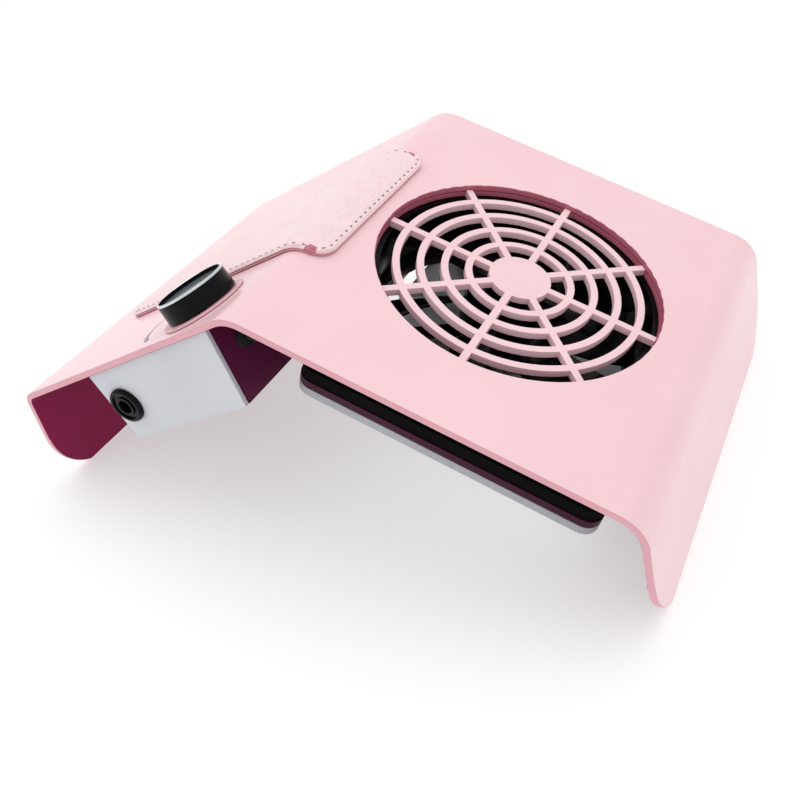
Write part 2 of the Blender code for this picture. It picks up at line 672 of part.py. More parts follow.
def build_board(rear, board, black, silver, green, copper):
    """Stand the speed controller's board on spacers in the box."""
    floor = -SHEET - GAP - BOX_DEPTH + BOX_WALL + GAP
    low = floor + BOARD_SPACER + GAP
    top = low + BOARD_THICK
    middle = -BOX_NEAR + BOX_WIDTH / 2
    back = -BOARD_BACK
    add_part("circuit_board", block((back - BOARD_LENGTH / 2, middle - BOARD_WIDTH / 2, low),
                                    (back + BOARD_LENGTH / 2, middle + BOARD_WIDTH / 2, top)),
             board, rear)
    rail = block((back - BOARD_LENGTH / 2, -BOARD_INSET / 2, floor),
                 (back + BOARD_LENGTH / 2, BOARD_INSET / 2, floor + BOARD_SPACER))
    rows = [(0, middle + side * (BOARD_WIDTH - BOARD_INSET) / 2) for side in (-1, 1)]
    add_copies("board_rail", rows, rail, black, rear)
    seat = move(back, middle, top + GAP)
    x, y, radius, height = CAPACITOR
    add_part("capacitor", rod(radius, 0, height, 20), black, rear, seat @ move(x, y), smooth=True)
    x, y, radius, height = INDUCTOR
    add_part("inductor", tube(INDUCTOR_BORE, radius, 0, height, 20), copper, rear, seat @ move(x, y),
             smooth=True)
    plate = block((*HEATSINK_LOW, 0), (*HEATSINK_HIGH, HEATSINK_HEIGHT))
    heatsink = add_part("heatsink", plate, silver, rear, seat)
    fins = [block((HEATSINK_HIGH[0] - FIN_ROOT, start, 0),
                  (HEATSINK_HIGH[0] + FIN_REACH, start + FIN_THICK, HEATSINK_HEIGHT))
            for start in (FIN_START + FIN_PITCH * index for index in range(FIN_COUNT))]
    carve(heatsink, "fins", join(fins), rear, seat, operation="UNION")
    add_part("power_transistor", block((*TRANSISTOR_LOW, 0), (*TRANSISTOR_HIGH, TRANSISTOR_HEIGHT)),
             black, rear, seat)
    add_part("terminal_block", block((*TERMINAL_LOW, 0), (*TERMINAL_HIGH, TERMINAL_HEIGHT)), green,
             rear, seat)


def build_lead(rear, front, plum_box, black, rubber):
    """Run the fan's short lead from the fan to the grommet in the box's front wall."""
    ridge = move(RIDGE_X, 0, RIDGE_HEIGHT)
    rear_place = ridge @ Matrix.Rotation(-REAR_ANGLE, 4, "Y")
    front_place = ridge @ Matrix.Rotation(FRONT_ANGLE, 4, "Y")
    lean = (BOX_FRONT_BOTTOM - BOX_FRONT_TOP) / BOX_DEPTH
    wall_turn = Matrix.Rotation(math.atan(lean) + math.pi / 2, 4, "Y")
    drop = LEAD_DROP - SHEET - GAP
    wall = move(-BOX_FRONT_TOP - lean * drop, LEAD_EDGE - BOX_NEAR, -LEAD_DROP) @ wall_turn
    cutter = rod(LEAD_RADIUS + 2 * GAP, -3 * BOX_WALL, 3 * BOX_WALL, 16)
    carve(plum_box, "lead_hole", moved(cutter, wall), rear)
    bore = LEAD_RADIUS + GAP
    grommet = tube(bore, bore + GROMMET_WALL, GAP, GAP + GROMMET_DEPTH, 20)
    add_part("lead_grommet", moved(grommet, wall), rubber, rear, smooth=True)
    wall_world = rear_place @ wall
    start = wall_world @ Vector((0, 0, -LEAD_TAIL))
    mouth = wall_world @ Vector((0, 0, LEAD_MOUTH))
    fan_low = FAN_ALONG - FAN_SIZE / 2 - GAP
    fan_point = Vector((fan_low, LEAD_FAN_INSET - FAN_SIZE / 2, -SHEET - BAR_DEPTH - FAN_DEPTH / 2))
    end = front_place @ fan_point
    near_fan = front_place @ (fan_point - Vector((LEAD_ENTRY, 0, 0)))
    sag = Vector((0, 0, -LEAD_SAG))
    controls = [mouth, mouth + (mouth - start) * 0.25 + sag, near_fan + (near_fan - end) + sag, near_fan]
    route = [start, start.lerp(mouth, 0.5)]
    for step in range(LEAD_POINTS):
        share = step / (LEAD_POINTS - 1)
        weights = ((1 - share) ** 3, 3 * share * (1 - share) ** 2, 3 * share ** 2 * (1 - share), share ** 3)
        route.append(sum((point * weight for point, weight in zip(controls, weights)), Vector()))
    route.append(end)
    curve = bpy.data.curves.new("fan_lead", "CURVE")
    curve.dimensions = "3D"
    curve.bevel_depth = LEAD_RADIUS
    curve.bevel_resolution = 2
    curve.use_fill_caps = True
    spline = curve.splines.new("POLY")
    spline.points.add(len(route) - 1)
    for slot, point in zip(spline.points, route):
        slot.co = (*point, 1)
    curve.materials.append(black)
    lead = bpy.data.objects.new("fan_lead", curve)
    bpy.context.scene.collection.objects.link(lead)


def fan_top():
    """Return the height of the fan's upper face, under the grille's flange."""
    return -GRILLE_SINK - BAR_DEPTH - GAP


def build_fan_frame(front, black, steel, copper):
    """Build the square frame, its motor mount and the fixed half of the motor."""
    place = move(FAN_ALONG)
    top = fan_top()
    low = top - FAN_DEPTH
    half = FAN_SIZE / 2
    frame = add_part("fan_frame", prism(rounded_outline(-half, half, FAN_SIZE, FAN_CORNER, 3), low, top),
                     black, front, place)
    carve(frame, "duct", rod(FAN_DUCT, low - SHEET, top + SHEET, 48), front, place)
    holes = four_corners(0, FAN_PITCH, FAN_PITCH)
    carve(frame, "fan_holes", at_each(holes, lambda: rod(STUD_RADIUS + STUD_CLEARANCE, low - SHEET,
                                                         top + SHEET, 12)), front, place)
    seat = low + MOTOR_PLATE
    tube_inner = BEARING_RADIUS + GAP
    tube_outer = tube_inner + TUBE_WALL
    tube_top = seat + TUBE_HEIGHT
    rim = HUB_RADIUS - MOTOR_RIM
    cup = [(0, low), (rim, low), (rim, seat), (tube_outer, seat), (tube_outer, tube_top),
           (tube_inner, tube_top), (tube_inner, seat), (0, seat)]
    carve(frame, "motor_mount", turned(cup, 32), front, place, operation="UNION")
    struts = [moved(block((HUB_RADIUS - STRUT_ROOT, -STRUT_WIDTH / 2, low),
                          (FAN_DUCT + STRUT_END, STRUT_WIDTH / 2, seat + STRUT_RISE)),
                    Matrix.Rotation(math.radians(45 + 90 * turn), 4, "Z")) for turn in range(4)]
    carve(frame, "struts", join(struts), front, place, operation="UNION")
    bearing = tube(SHAFT_RADIUS + GAP, BEARING_RADIUS, seat, seat + BEARING_DEPTH, 20)
    levels = [(0, 0, BEARING_LIFT), (0, 0, BEARING_LIFT + BEARING_SPREAD)]
    add_copies("fan_bearing", levels, bearing, steel, front, place, smooth=True)
    core_low = seat + CORE_LOW
    core_high = core_low + CORE_HEIGHT
    core_inner = tube_outer + GAP
    core_outer = core_inner + CORE_WALL
    core = add_part("stator_core", tube(core_inner, core_outer, core_low, core_high, 24), steel, front,
                    place)
    arm_end = HUB_RADIUS - HUB_WALL - ARM_MARGIN
    shoe_low = arm_end - SHOE_BACK
    coil_start = core_outer + GAP
    coil_end = shoe_low - GAP
    turns = [Matrix.Rotation(math.radians(90 * turn), 4, "Z") for turn in range(4)]
    coils = []
    for index, turn in enumerate(turns):
        arm = block((core_outer - CORE_LAP, -ARM_WIDTH / 2, core_low), (arm_end, ARM_WIDTH / 2, core_high))
        shoe = block((shoe_low, -SHOE_WIDTH / 2, core_low), (arm_end + SHOE_FACE, SHOE_WIDTH / 2, core_high))
        carve(core, f"stator_arm_{index}", moved(arm, turn), front, place, operation="UNION")
        carve(core, f"stator_shoe_{index}", moved(shoe, turn), front, place, operation="UNION")
        coils.append(moved(block((coil_start, -COIL_WIDTH / 2, core_low - COIL_RISE),
                                 (coil_end, COIL_WIDTH / 2, core_high + COIL_RISE)), turn))
    winding = add_part("stator_winding", coils[0], copper, front, place)
    for index, coil in enumerate(coils[1:]):
        carve(winding, f"stator_coil_{index}", coil, front, place, operation="UNION")
    link = tube(coil_start + LINK_INSET, coil_end - LINK_INSET, core_high + LINK_LOW,
                core_high + LINK_HIGH, 24)
    carve(winding, "coil_link", link, front, place, operation="UNION")
    room = [moved(block((core_inner, -ARM_WIDTH / 2 - GAP, core_low - GAP),
                        (arm_end, ARM_WIDTH / 2 + GAP, core_high + GAP)), turn) for turn in turns]
    carve(winding, "coil_room", join(room), front, place)


def blade():
    """Return one pitched fan blade that grows wider towards its tip."""
    tip = FAN_DUCT - BLADE_TIP_GAP
    root = HUB_RADIUS - HUB_WALL / 2
    shape = bmesh.new()
    rows = []
    for index in range(BLADE_SECTIONS):
        share = index / (BLADE_SECTIONS - 1)
        radius = root + (tip - root) * share
        chord = BLADE_CHORD + (BLADE_TIP_CHORD - BLADE_CHORD) * share
        pitch = BLADE_PITCH + (BLADE_TIP_PITCH - BLADE_PITCH) * share
        sweep = BLADE_SWEEP * share
        row = []
        for side, face in ((-1, -1), (1, -1), (1, 1), (-1, 1)):
            along = side * chord / 2
            across = face * BLADE_THICK / 2
            rise = along * math.sin(pitch) + across * math.cos(pitch)
            arc = (along * math.cos(pitch) - across * math.sin(pitch)) / radius + sweep
            row.append(shape.verts.new((radius * math.cos(arc), radius * math.sin(arc), rise)))
        rows.append(row)
    for inner, outer in zip(rows, rows[1:]):
        for corner in range(4):
            after = (corner + 1) % 4
            shape.faces.new((inner[corner], inner[after], outer[after], outer[corner]))
    shape.faces.new(rows[0])
    shape.faces.new(rows[-1])
    bmesh.ops.recalc_face_normals(shape, faces=shape.faces)
    return shape


def build_rotor(front, black, steel, magnet):
    """Build the turning half of the fan: hub with blades, magnet ring and shaft."""
    place = move(FAN_ALONG)
    top = fan_top() - ROTOR_DROP
    low = fan_top() - FAN_DEPTH + MOTOR_PLATE + ROTOR_LIFT
    inner = HUB_RADIUS - HUB_WALL
    ceiling = top - HUB_ROOF
    profile = [(0, top), (HUB_RADIUS - HUB_CHAMFER, top), (HUB_RADIUS, top - HUB_CHAMFER),
               (HUB_RADIUS, low), (inner, low), (inner, ceiling), (0, ceiling)]
    rotor = add_part("fan_rotor", turned(profile, 36), black, front, place, smooth=True)
    middle = (top + low) / 2
    blades = [moved(blade(), move(z=middle) @ Matrix.Rotation(math.tau * index / BLADES, 4, "Z"))
              for index in range(BLADES)]
    carve(rotor, "blades", join(blades), front, place, operation="UNION")
    ring = tube(inner - GAP - MAGNET_WALL, inner - GAP, low + MAGNET_LIFT, ceiling - GAP, 28)
    add_part("rotor_magnet", ring, magnet, front, place, smooth=True)
    foot = fan_top() - FAN_DEPTH + MOTOR_PLATE + GAP
    add_part("rotor_shaft", rod(SHAFT_RADIUS, foot, ceiling - GAP, 16), steel, front, place, smooth=True)


def build_fan_fixings(front, steel):
    """Hang the fan on four shouldered studs with a nut under each."""
    place = move(FAN_ALONG)
    corners = four_corners(0, FAN_PITCH, FAN_PITCH)
    ceiling = -SHEET - GAP
    bore = STUD_RADIUS + STUD_CLEARANCE
    nut_top = fan_top() - FAN_DEPTH - GAP
    low = nut_top - NUT_HEIGHT - NUT_ROOM
    shoulder = fan_top() + GAP
    stud = [(0, low), (STUD_RADIUS, low), (STUD_RADIUS, shoulder), (2 * bore, shoulder), (2 * bore, ceiling),
            (0, ceiling)]
    add_copies("fan_stud", corners, turned(stud, 12), steel, front, place, smooth=True)
    add_copies("fan_nut", corners, nut(bore, NUT_RADIUS, nut_top - NUT_HEIGHT, nut_top), steel, front,
               place)


def build_bag(front, foam, plum, steel, cloth, elastic):
    """Build the foam gasket, the bag's frame on its posts, and the dust bag under it."""
    fan_low = fan_top() - FAN_DEPTH
    gasket_top = fan_low - GAP
    gasket_low = gasket_top - GASKET_DEPTH
    low_x = BAG_ALONG - BAG_LENGTH / 2
    high_x = BAG_ALONG + BAG_LENGTH / 2
    outline = rounded_outline(low_x + GASKET_INSET, high_x - GASKET_INSET, BAG_WIDTH - 2 * GASKET_INSET,
                              BAG_CORNER - GASKET_INSET)
    gasket = add_part("foam_gasket", prism(outline, gasket_low, gasket_top), foam, front)
    throat = move(FAN_ALONG)
    carve(gasket, "gasket_bore", rod(BAG_OPENING, gasket_low - SHEET, gasket_top + SHEET, 48), front, throat)
    corners = four_corners(0, FAN_PITCH, FAN_PITCH)
    carve(gasket, "nut_room", at_each(corners, lambda: rod(NUT_RADIUS + NUT_ROOM, gasket_low - SHEET,
                                                           gasket_top + SHEET, 12)), front, throat)
    posts = four_corners(BAG_ALONG, BAG_LENGTH - 2 * POST_INSET, BAG_WIDTH - 2 * POST_INSET)
    carve(gasket, "post_room", at_each(posts, lambda: rod(POST_RADIUS + GAP, gasket_low - SHEET,
                                                          gasket_top + SHEET, 12)), front)
    plate_top = gasket_low - GAP
    plate_low = plate_top - BAG_PLATE
    outline = rounded_outline(low_x, high_x, BAG_WIDTH, BAG_CORNER)
    plate = add_part("bag_frame", prism(outline, plate_low, plate_top), plum, front)
    carve(plate, "frame_bore", rod(BAG_OPENING, plate_low - SHEET, plate_top + SHEET, 48), front, throat)
    head = SCREW_HEAD + GAP
    shank = SCREW_SHANK + GAP
    step = plate_low + SCREW_HEAD_DEPTH + GAP
    sink = [(0, plate_low - SHEET), (head, plate_low - SHEET), (head, step), (shank, step),
            (shank, plate_top + SHEET), (0, plate_top + SHEET)]
    carve(plate, "screw_sinks", at_each(posts, lambda: turned(sink, 16)), front)
    ceiling = -SHEET - GAP
    add_copies("frame_post", posts, tube(shank, POST_RADIUS, plate_top + GAP, ceiling, 12), steel,
               front, smooth=True)
    tip = plate_top + SCREW_REACH
    screw = [(0, plate_low), (SCREW_HEAD, plate_low), (SCREW_HEAD, plate_low + SCREW_HEAD_DEPTH / 2),
             (SCREW_SHANK, plate_low + SCREW_HEAD_DEPTH), (SCREW_SHANK, tip), (0, tip)]
    add_copies("frame_screw", posts, turned(screw, 16), steel, front, smooth=True)
    hem_top = plate_low - GAP
    hem_low = hem_top - HEM_DEPTH
    hem = add_part("bag_hem", prism(outline, hem_low, hem_top), elastic, front)
    inner = rounded_outline(low_x + HEM_WIDTH, high_x - HEM_WIDTH, BAG_WIDTH - 2 * HEM_WIDTH,
                            BAG_CORNER - HEM_WIDTH)
    carve(hem, "hem_room", prism(inner, hem_low - SHEET, hem_top + SHEET), front)
    sections = []
    for inset, height in ((0, hem_top), *((inset, hem_low - share * BAG_SAG) for inset, share in BAG_CURVE)):
        edge = HEM_WIDTH + GAP + inset
        sections.append((rounded_outline(low_x + edge, high_x - edge, BAG_WIDTH - 2 * edge,
                                         BAG_CORNER - HEM_WIDTH - GAP + inset / 2), height))
    add_part("dust_bag", loft(sections), cloth, front)


def main():
    """Build the whole collector."""
    clear_scene()
    pink = finish("pink_enamel", (0.86, 0.60, 0.63), 0.35, 0.0)
    grille_pink = finish("pink_plastic", (0.84, 0.58, 0.61), 0.4, 0.0)
    leather = finish("pink_leather", (0.88, 0.66, 0.68), 0.55, 0.0)
    backing = finish("rest_backing", (0.80, 0.52, 0.56), 0.7, 0.0)
    black = finish("black_plastic", (0.01, 0.01, 0.012), 0.3, 0.0)
    silver = finish("polished_aluminium", (0.85, 0.86, 0.88), 0.2, 1.0)
    glass = finish("smoked_face", (0.25, 0.27, 0.29), 0.15, 0.0)
    rose = finish("rose_plastic", (0.55, 0.20, 0.28), 0.45, 0.0)
    steel = finish("steel", (0.62, 0.63, 0.65), 0.35, 1.0)
    brass = finish("brass", (0.75, 0.58, 0.28), 0.35, 1.0)
    white = finish("white_enamel", (0.62, 0.63, 0.67), 0.4, 0.0)
    plum = finish("plum_enamel", (0.15, 0.02, 0.05), 0.4, 0.0)
    board = finish("board_green", (0.02, 0.16, 0.06), 0.5, 0.0)
    green = finish("terminal_green", (0.05, 0.30, 0.12), 0.45, 0.0)
    copper = finish("copper", (0.72, 0.35, 0.18), 0.35, 1.0)
    magnet = finish("magnet", (0.05, 0.05, 0.05), 0.6, 0.5)
    rubber = finish("rubber", (0.02, 0.02, 0.02), 0.8, 0.0)
    foam = finish("black_foam", (0.012, 0.012, 0.012), 0.95, 0.0)
    cloth = finish("bag_cloth", (0.72, 0.72, 0.74), 0.9, 0.0)
    elastic = finish("bag_elastic", (0.60, 0.58, 0.62), 0.85, 0.0)
    ridge = move(RIDGE_X, 0, RIDGE_HEIGHT)
    rear = add_frame("rear_panel", ridge @ Matrix.Rotation(-REAR_ANGLE, 4, "Y"))
    front = add_frame("front_panel", ridge @ Matrix.Rotation(FRONT_ANGLE, 4, "Y"))
    build_sheet(rear, front, pink)
    build_hand_rest(leather, backing)
    build_grille(front, grille_pink)
    build_knob(rear, black, silver, glass, rose, steel, brass)
    build_control_box(rear, white, plum, steel)
    build_inlet(rear, black, brass, steel)
    build_board(rear, board, black, silver, green, copper)
    build_lead(rear, front, bpy.data.objects["control_box_body"], black, rubber)
    build_fan_frame(front, black, steel, copper)
    build_rotor(front, black, steel, magnet)
    build_fan_fixings(front, steel)
    build_bag(front, foam, plum, steel, cloth, elastic)


if __name__ == "__main__":
    main()
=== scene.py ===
"""Looks of the nail dust collector: enamelled stand, leather hand rest, knob, fan and dust bag.

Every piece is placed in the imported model's frame: metres, +X towards the front flap, +Y away
from the side with the power inlet, +Z up. Pieces on a sloping panel are modelled in that
panel's own frame (origin on the ridge line, X along the panel towards the front, Z outwards)
and then moved into the world, so that every finished object sits at the origin.
"""

import json
import logging
import math
from bisect import bisect_left
from dataclasses import dataclass
from enum import Enum
from typing import Any, Iterable, Sequence

import bmesh
import bpy
from mathutils import Matrix, Vector, noise


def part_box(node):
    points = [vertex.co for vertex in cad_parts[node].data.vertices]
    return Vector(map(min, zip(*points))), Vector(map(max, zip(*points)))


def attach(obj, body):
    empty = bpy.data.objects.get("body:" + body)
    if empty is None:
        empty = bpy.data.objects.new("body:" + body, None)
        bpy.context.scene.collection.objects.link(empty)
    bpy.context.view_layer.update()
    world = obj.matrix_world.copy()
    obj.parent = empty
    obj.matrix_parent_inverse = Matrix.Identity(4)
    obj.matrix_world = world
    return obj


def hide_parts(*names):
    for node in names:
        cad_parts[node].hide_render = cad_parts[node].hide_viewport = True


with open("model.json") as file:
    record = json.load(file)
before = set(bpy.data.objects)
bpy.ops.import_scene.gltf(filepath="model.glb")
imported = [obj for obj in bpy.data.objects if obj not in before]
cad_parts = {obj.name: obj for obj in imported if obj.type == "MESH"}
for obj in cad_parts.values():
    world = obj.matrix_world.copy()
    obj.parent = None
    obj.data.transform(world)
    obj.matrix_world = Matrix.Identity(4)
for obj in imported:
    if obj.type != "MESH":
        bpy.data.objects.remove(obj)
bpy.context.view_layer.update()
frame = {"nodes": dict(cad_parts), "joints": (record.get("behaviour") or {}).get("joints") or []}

MM = 0.001
GAP = 0.3 * MM              # clearance between two pieces that touch
WELD = 1e-6                 # distance under which two points are one
SHARP = math.radians(35)    # bend between two faces past which their edge is shaded sharp
CORNER = math.radians(50)   # bend past which an edge is a corner that gets a small round
SMALL_ROUND = 32            # segments of a full turn for small hidden holes
INLET_ROUND = 64            # the same for the inlet
FAN_ROUND = 96              # for the fan
WIDE_ROUND = 120            # for the air hole and the grille
KNOB_ROUND = 128            # for the knob
COPIES = range(1, 5)        # numbers of the copies of each fastener
LOG = logging.getLogger("collector")

Colour = tuple[float, float, float]
Profile = Sequence[tuple[float, float]]
Socket = bpy.types.NodeSocket


def tone(red: int, green: int, blue: int) -> Colour:
    """Return a linear colour from display values of 0 to 255."""
    shares = (value / 255 for value in (red, green, blue))
    return tuple(share / 12.92 if share <= 0.04045 else ((share + 0.055) / 1.055) ** 2.4 for share in shares)


# ---------------------------------------------------------------- finishes


class Relief(Enum):
    """The small surface relief of a finish."""

    PEEL = "orange_peel"
    LEATHER = "leather_grain"
    MOULDED = "moulded_grain"
    DRAWN = "drawn_lines"
    CLOTH = "bonded_cloth"
    FOAM = "open_foam"


class Kind(Enum):
    """The socket types that the node groups use."""

    COLOUR = "NodeSocketColor"
    NUMBER = "NodeSocketFloat"
    VECTOR = "NodeSocketVector"


class NodeSheet:
    """A node tree that is written down node by node."""

    def __init__(self, tree: bpy.types.NodeTree) -> None:
        """Keep the tree that the nodes go to."""
        self.tree = tree

    def add(self, kind: str, inputs: dict[Any, Any] | None = None, **settings: Any) -> bpy.types.Node:
        """Add one node.

        Args:
            kind: the node's Blender type.
            inputs: a value or another node's output for each named or numbered input.
            settings: the node's own properties.

        Returns:
            The new node.
        """
        node = self.tree.nodes.new(kind)
        for name, value in settings.items():
            setattr(node, name, value)
        for key, value in (inputs or {}).items():
            if isinstance(value, Socket):
                self.tree.links.new(value, node.inputs[key])
            else:
                node.inputs[key].default_value = value
        return node

    def grouped(self, group: bpy.types.NodeTree, inputs: dict[str, Any]) -> bpy.types.Node:
        """Place a node group and return its node."""
        return self.add("ShaderNodeGroup", inputs, node_tree=group)

    def maths(self, operation: str, *values: Any) -> Socket:
        """Return the result of a Math node on values or outputs."""
        return self.add("ShaderNodeMath", dict(enumerate(values)), operation=operation).outputs[0]

    def ramp(self, value: Any, low: Any, high: Any, start: Any = 0.0, end: Any = 1.0) -> Socket:
        """Return value mapped smoothly from low..high to start..end."""
        node = self.add("ShaderNodeMapRange", {0: value, 1: low, 2: high, 3: start, 4: end},
                        interpolation_type="SMOOTHSTEP")
        return node.outputs[0]

    def mix(self, share: Any, first: Any, second: Any) -> Socket:
        """Return a mix of two colours."""
        return self.add("ShaderNodeMix", {0: share, 6: first, 7: second}, data_type="RGBA").outputs[2]

    def noise(self, place: Any, scale: Any, detail: float = 2.0, rough: float = 0.5) -> Socket:
        """Return a noise field's value."""
        node = self.add("ShaderNodeTexNoise", {"Vector": place, "Scale": scale, "Detail": detail,
                                               "Roughness": rough})
        return node.outputs[0]


class Group(NodeSheet):
    """A shader node group with named inputs and outputs."""

    def __init__(self, name: str, inputs: dict[str, Kind], outputs: dict[str, Kind]) -> None:
        """Make the group and its sockets.

        Args:
            name: the group's name.
            inputs: the kind of each named input.
            outputs: the kind of each named output.
        """
        super().__init__(bpy.data.node_groups.new(name, "ShaderNodeTree"))
        for label, kind in inputs.items():
            self.tree.interface.new_socket(label, in_out="INPUT", socket_type=kind.value)
        for label, kind in outputs.items():
            self.tree.interface.new_socket(label, in_out="OUTPUT", socket_type=kind.value)
        self.source = self.add("NodeGroupInput").outputs
        self.sink = self.add("NodeGroupOutput").inputs

    def give(self, **results: Socket) -> bpy.types.NodeTree:
        """Wire the results to the outputs of the same name and return the group."""
        for label, result in results.items():
            self.tree.links.new(result, self.sink[label])
        return self.tree


class GroupShelf:
    """Builds each shared node group once."""

    FINE_TONES = 9.0            # fine tones' frequency over the soft ones'
    RUBBED_PATCHES = 140.0      # patches of rubbed tone per metre
    SMUDGES = 22.0              # wiped smudges per metre
    DRAWN_STRETCH = 0.06        # a drawn line's width over its length
    FIBRE_STRETCH = 0.12        # a fibre's width over its length
    CELL_WARP = 0.0009          # how far the leather's cells are bent out of line, in metres

    def __init__(self) -> None:
        """Build the groups that every finish uses."""
        self.drift = self._tone_drift()
        self.wear = self._rubbed_edge()
        self.sheen = self._roughness_drift()
        self.reliefs: dict[Relief, bpy.types.NodeTree] = {}

    @staticmethod
    def _tone_drift() -> bpy.types.NodeTree:
        """Return the group that lets a colour wander softly towards a second one."""
        group = Group("tone_drift", {"Place": Kind.VECTOR, "Base": Kind.COLOUR, "Tint": Kind.COLOUR,
                                     "Scale": Kind.NUMBER, "Amount": Kind.NUMBER}, {"Color": Kind.COLOUR})
        source = group.source
        cloud = group.noise(source["Place"], source["Scale"], detail=3.0)
        fine = group.noise(source["Place"], group.maths("MULTIPLY", source["Scale"], GroupShelf.FINE_TONES))
        field = group.maths("ADD", group.maths("MULTIPLY", cloud, 0.75), group.maths("MULTIPLY", fine, 0.25))
        share = group.maths("MULTIPLY", group.ramp(field, low=0.35, high=0.65), source["Amount"])
        return group.give(Color=group.mix(share, source["Base"], source["Tint"]))

    @staticmethod
    def _rubbed_edge() -> bpy.types.NodeTree:
        """Return the group that shows a rubbed tone in patches where a mask is set."""
        group = Group("rubbed_edge", {"Place": Kind.VECTOR, "Base": Kind.COLOUR, "Rubbed": Kind.COLOUR,
                                      "Mask": Kind.NUMBER, "Amount": Kind.NUMBER}, {"Color": Kind.COLOUR})
        source = group.source
        patches = group.ramp(group.noise(source["Place"], GroupShelf.RUBBED_PATCHES, detail=4.0),
                             low=0.42, high=0.62, start=0.35)
        share = group.maths("MULTIPLY", group.maths("MULTIPLY", patches, source["Mask"]), source["Amount"])
        return group.give(Color=group.mix(share, source["Base"], source["Rubbed"]))

    @staticmethod
    def _roughness_drift() -> bpy.types.NodeTree:
        """Return the group that varies roughness like handled, wiped surfaces."""
        group = Group("roughness_drift", {"Place": Kind.VECTOR, "Roughness": Kind.NUMBER,
                                          "Spread": Kind.NUMBER}, {"Roughness": Kind.NUMBER})
        source = group.source
        smudge = group.noise(source["Place"], GroupShelf.SMUDGES, detail=5.0, rough=0.6)
        shift = group.maths("MULTIPLY", group.ramp(smudge, low=0.3, high=0.7, start=-1.0), source["Spread"])
        return group.give(Roughness=group.maths("ADD", source["Roughness"], shift))

    def relief(self, kind: Relief) -> bpy.types.NodeTree:
        """Return the group that draws one kind of relief, as a height and a crease mask."""
        if kind not in self.reliefs:
            draw = {Relief.PEEL: self._peel, Relief.MOULDED: self._moulded, Relief.LEATHER: self._leather,
                    Relief.DRAWN: self._drawn, Relief.CLOTH: self._cloth, Relief.FOAM: self._foam}[kind]
            group = Group(kind.value, {"Place": Kind.VECTOR, "Scale": Kind.NUMBER},
                          {"Height": Kind.NUMBER, "Crease": Kind.NUMBER})
            height, crease = draw(group)
            self.reliefs[kind] = group.give(Height=height, Crease=crease)
        return self.reliefs[kind]

    @staticmethod
    def _peel(group: Group) -> tuple[Socket, Socket]:
        """Draw the gentle waves of sprayed enamel."""
        waves = group.noise(group.source["Place"], group.source["Scale"], detail=1.0)
        return waves, group.ramp(waves, low=0.3, high=0.1)

    @staticmethod
    def _moulded(group: Group) -> tuple[Socket, Socket]:
        """Draw the fine even grain of a moulded part."""
        grain = group.noise(group.source["Place"], group.source["Scale"], detail=3.0, rough=0.6)
        return grain, group.ramp(grain, low=0.4, high=0.25)

    @staticmethod
    def _leather(group: Group) -> tuple[Socket, Socket]:
        """Draw pebbled leather: cells of two sizes parted by creases."""
        place, scale = group.source["Place"], group.source["Scale"]
        warp_scale = group.maths("MULTIPLY", scale, 0.6)
        small_scale = group.maths("MULTIPLY", scale, 2.3)
        warp = group.add("ShaderNodeTexNoise", {"Vector": place, "Scale": warp_scale})
        bent = group.add("ShaderNodeVectorMath", {0: warp.outputs[1], 1: 3 * (GroupShelf.CELL_WARP,)},
                         operation="MULTIPLY")
        moved = group.add("ShaderNodeVectorMath", {0: place, 1: bent.outputs[0]}, operation="ADD").outputs[0]
        cells = group.add("ShaderNodeTexVoronoi", {"Vector": moved, "Scale": scale},
                          feature="DISTANCE_TO_EDGE")
        small = group.add("ShaderNodeTexVoronoi", {"Vector": moved, "Scale": small_scale},
                          feature="DISTANCE_TO_EDGE")
        coarse = group.ramp(cells.outputs["Distance"], low=0.0, high=0.16)
        fine = group.ramp(small.outputs["Distance"], low=0.0, high=0.14)
        height = group.maths("ADD", group.maths("MULTIPLY", coarse, 0.7), group.maths("MULTIPLY", fine, 0.3))
        return height, group.maths("SUBTRACT", 1.0, coarse)

    @staticmethod
    def _drawn(group: Group) -> tuple[Socket, Socket]:
        """Draw the long fine lines of drawn or brushed metal."""
        long = group.add("ShaderNodeVectorMath",
                         {0: group.source["Place"], 1: (GroupShelf.DRAWN_STRETCH, 1.0, 1.0)},
                         operation="MULTIPLY").outputs[0]
        lines = group.noise(long, group.source["Scale"], detail=4.0, rough=0.7)
        return lines, group.ramp(lines, low=0.45, high=0.3)

    @staticmethod
    def _cloth(group: Group) -> tuple[Socket, Socket]:
        """Draw bonded cloth: loose fibres pressed down in a grid of small points."""
        place, scale = group.source["Place"], group.source["Scale"]
        axes = group.add("ShaderNodeSeparateXYZ", {0: place}).outputs
        waves = []
        for axis in (0, 1):
            turns = group.maths("MULTIPLY", axes[axis], scale)
            waves.append(group.maths("SINE", group.maths("MULTIPLY", turns, math.tau)))
        points = group.ramp(group.maths("MULTIPLY", waves[0], waves[1]), low=0.25, high=0.8)
        fibres = []
        for stretch in ((1.0, GroupShelf.FIBRE_STRETCH, 1.0), (GroupShelf.FIBRE_STRETCH, 1.0, 1.0)):
            drawn = group.add("ShaderNodeVectorMath", {0: place, 1: stretch}, operation="MULTIPLY").outputs[0]
            fibres.append(group.noise(drawn, group.maths("MULTIPLY", scale, 6.0), detail=3.0, rough=0.65))
        tangle = group.maths("MAXIMUM", *fibres)
        height = group.maths("SUBTRACT", tangle, group.maths("MULTIPLY", points, 0.6))
        return height, points

    @staticmethod
    def _foam(group: Group) -> tuple[Socket, Socket]:
        """Draw the open cells of foam."""
        cells = group.add("ShaderNodeTexVoronoi", {"Vector": group.source["Place"],
                                                   "Scale": group.source["Scale"]}).outputs["Distance"]
        return cells, group.ramp(cells, low=0.45, high=0.1)


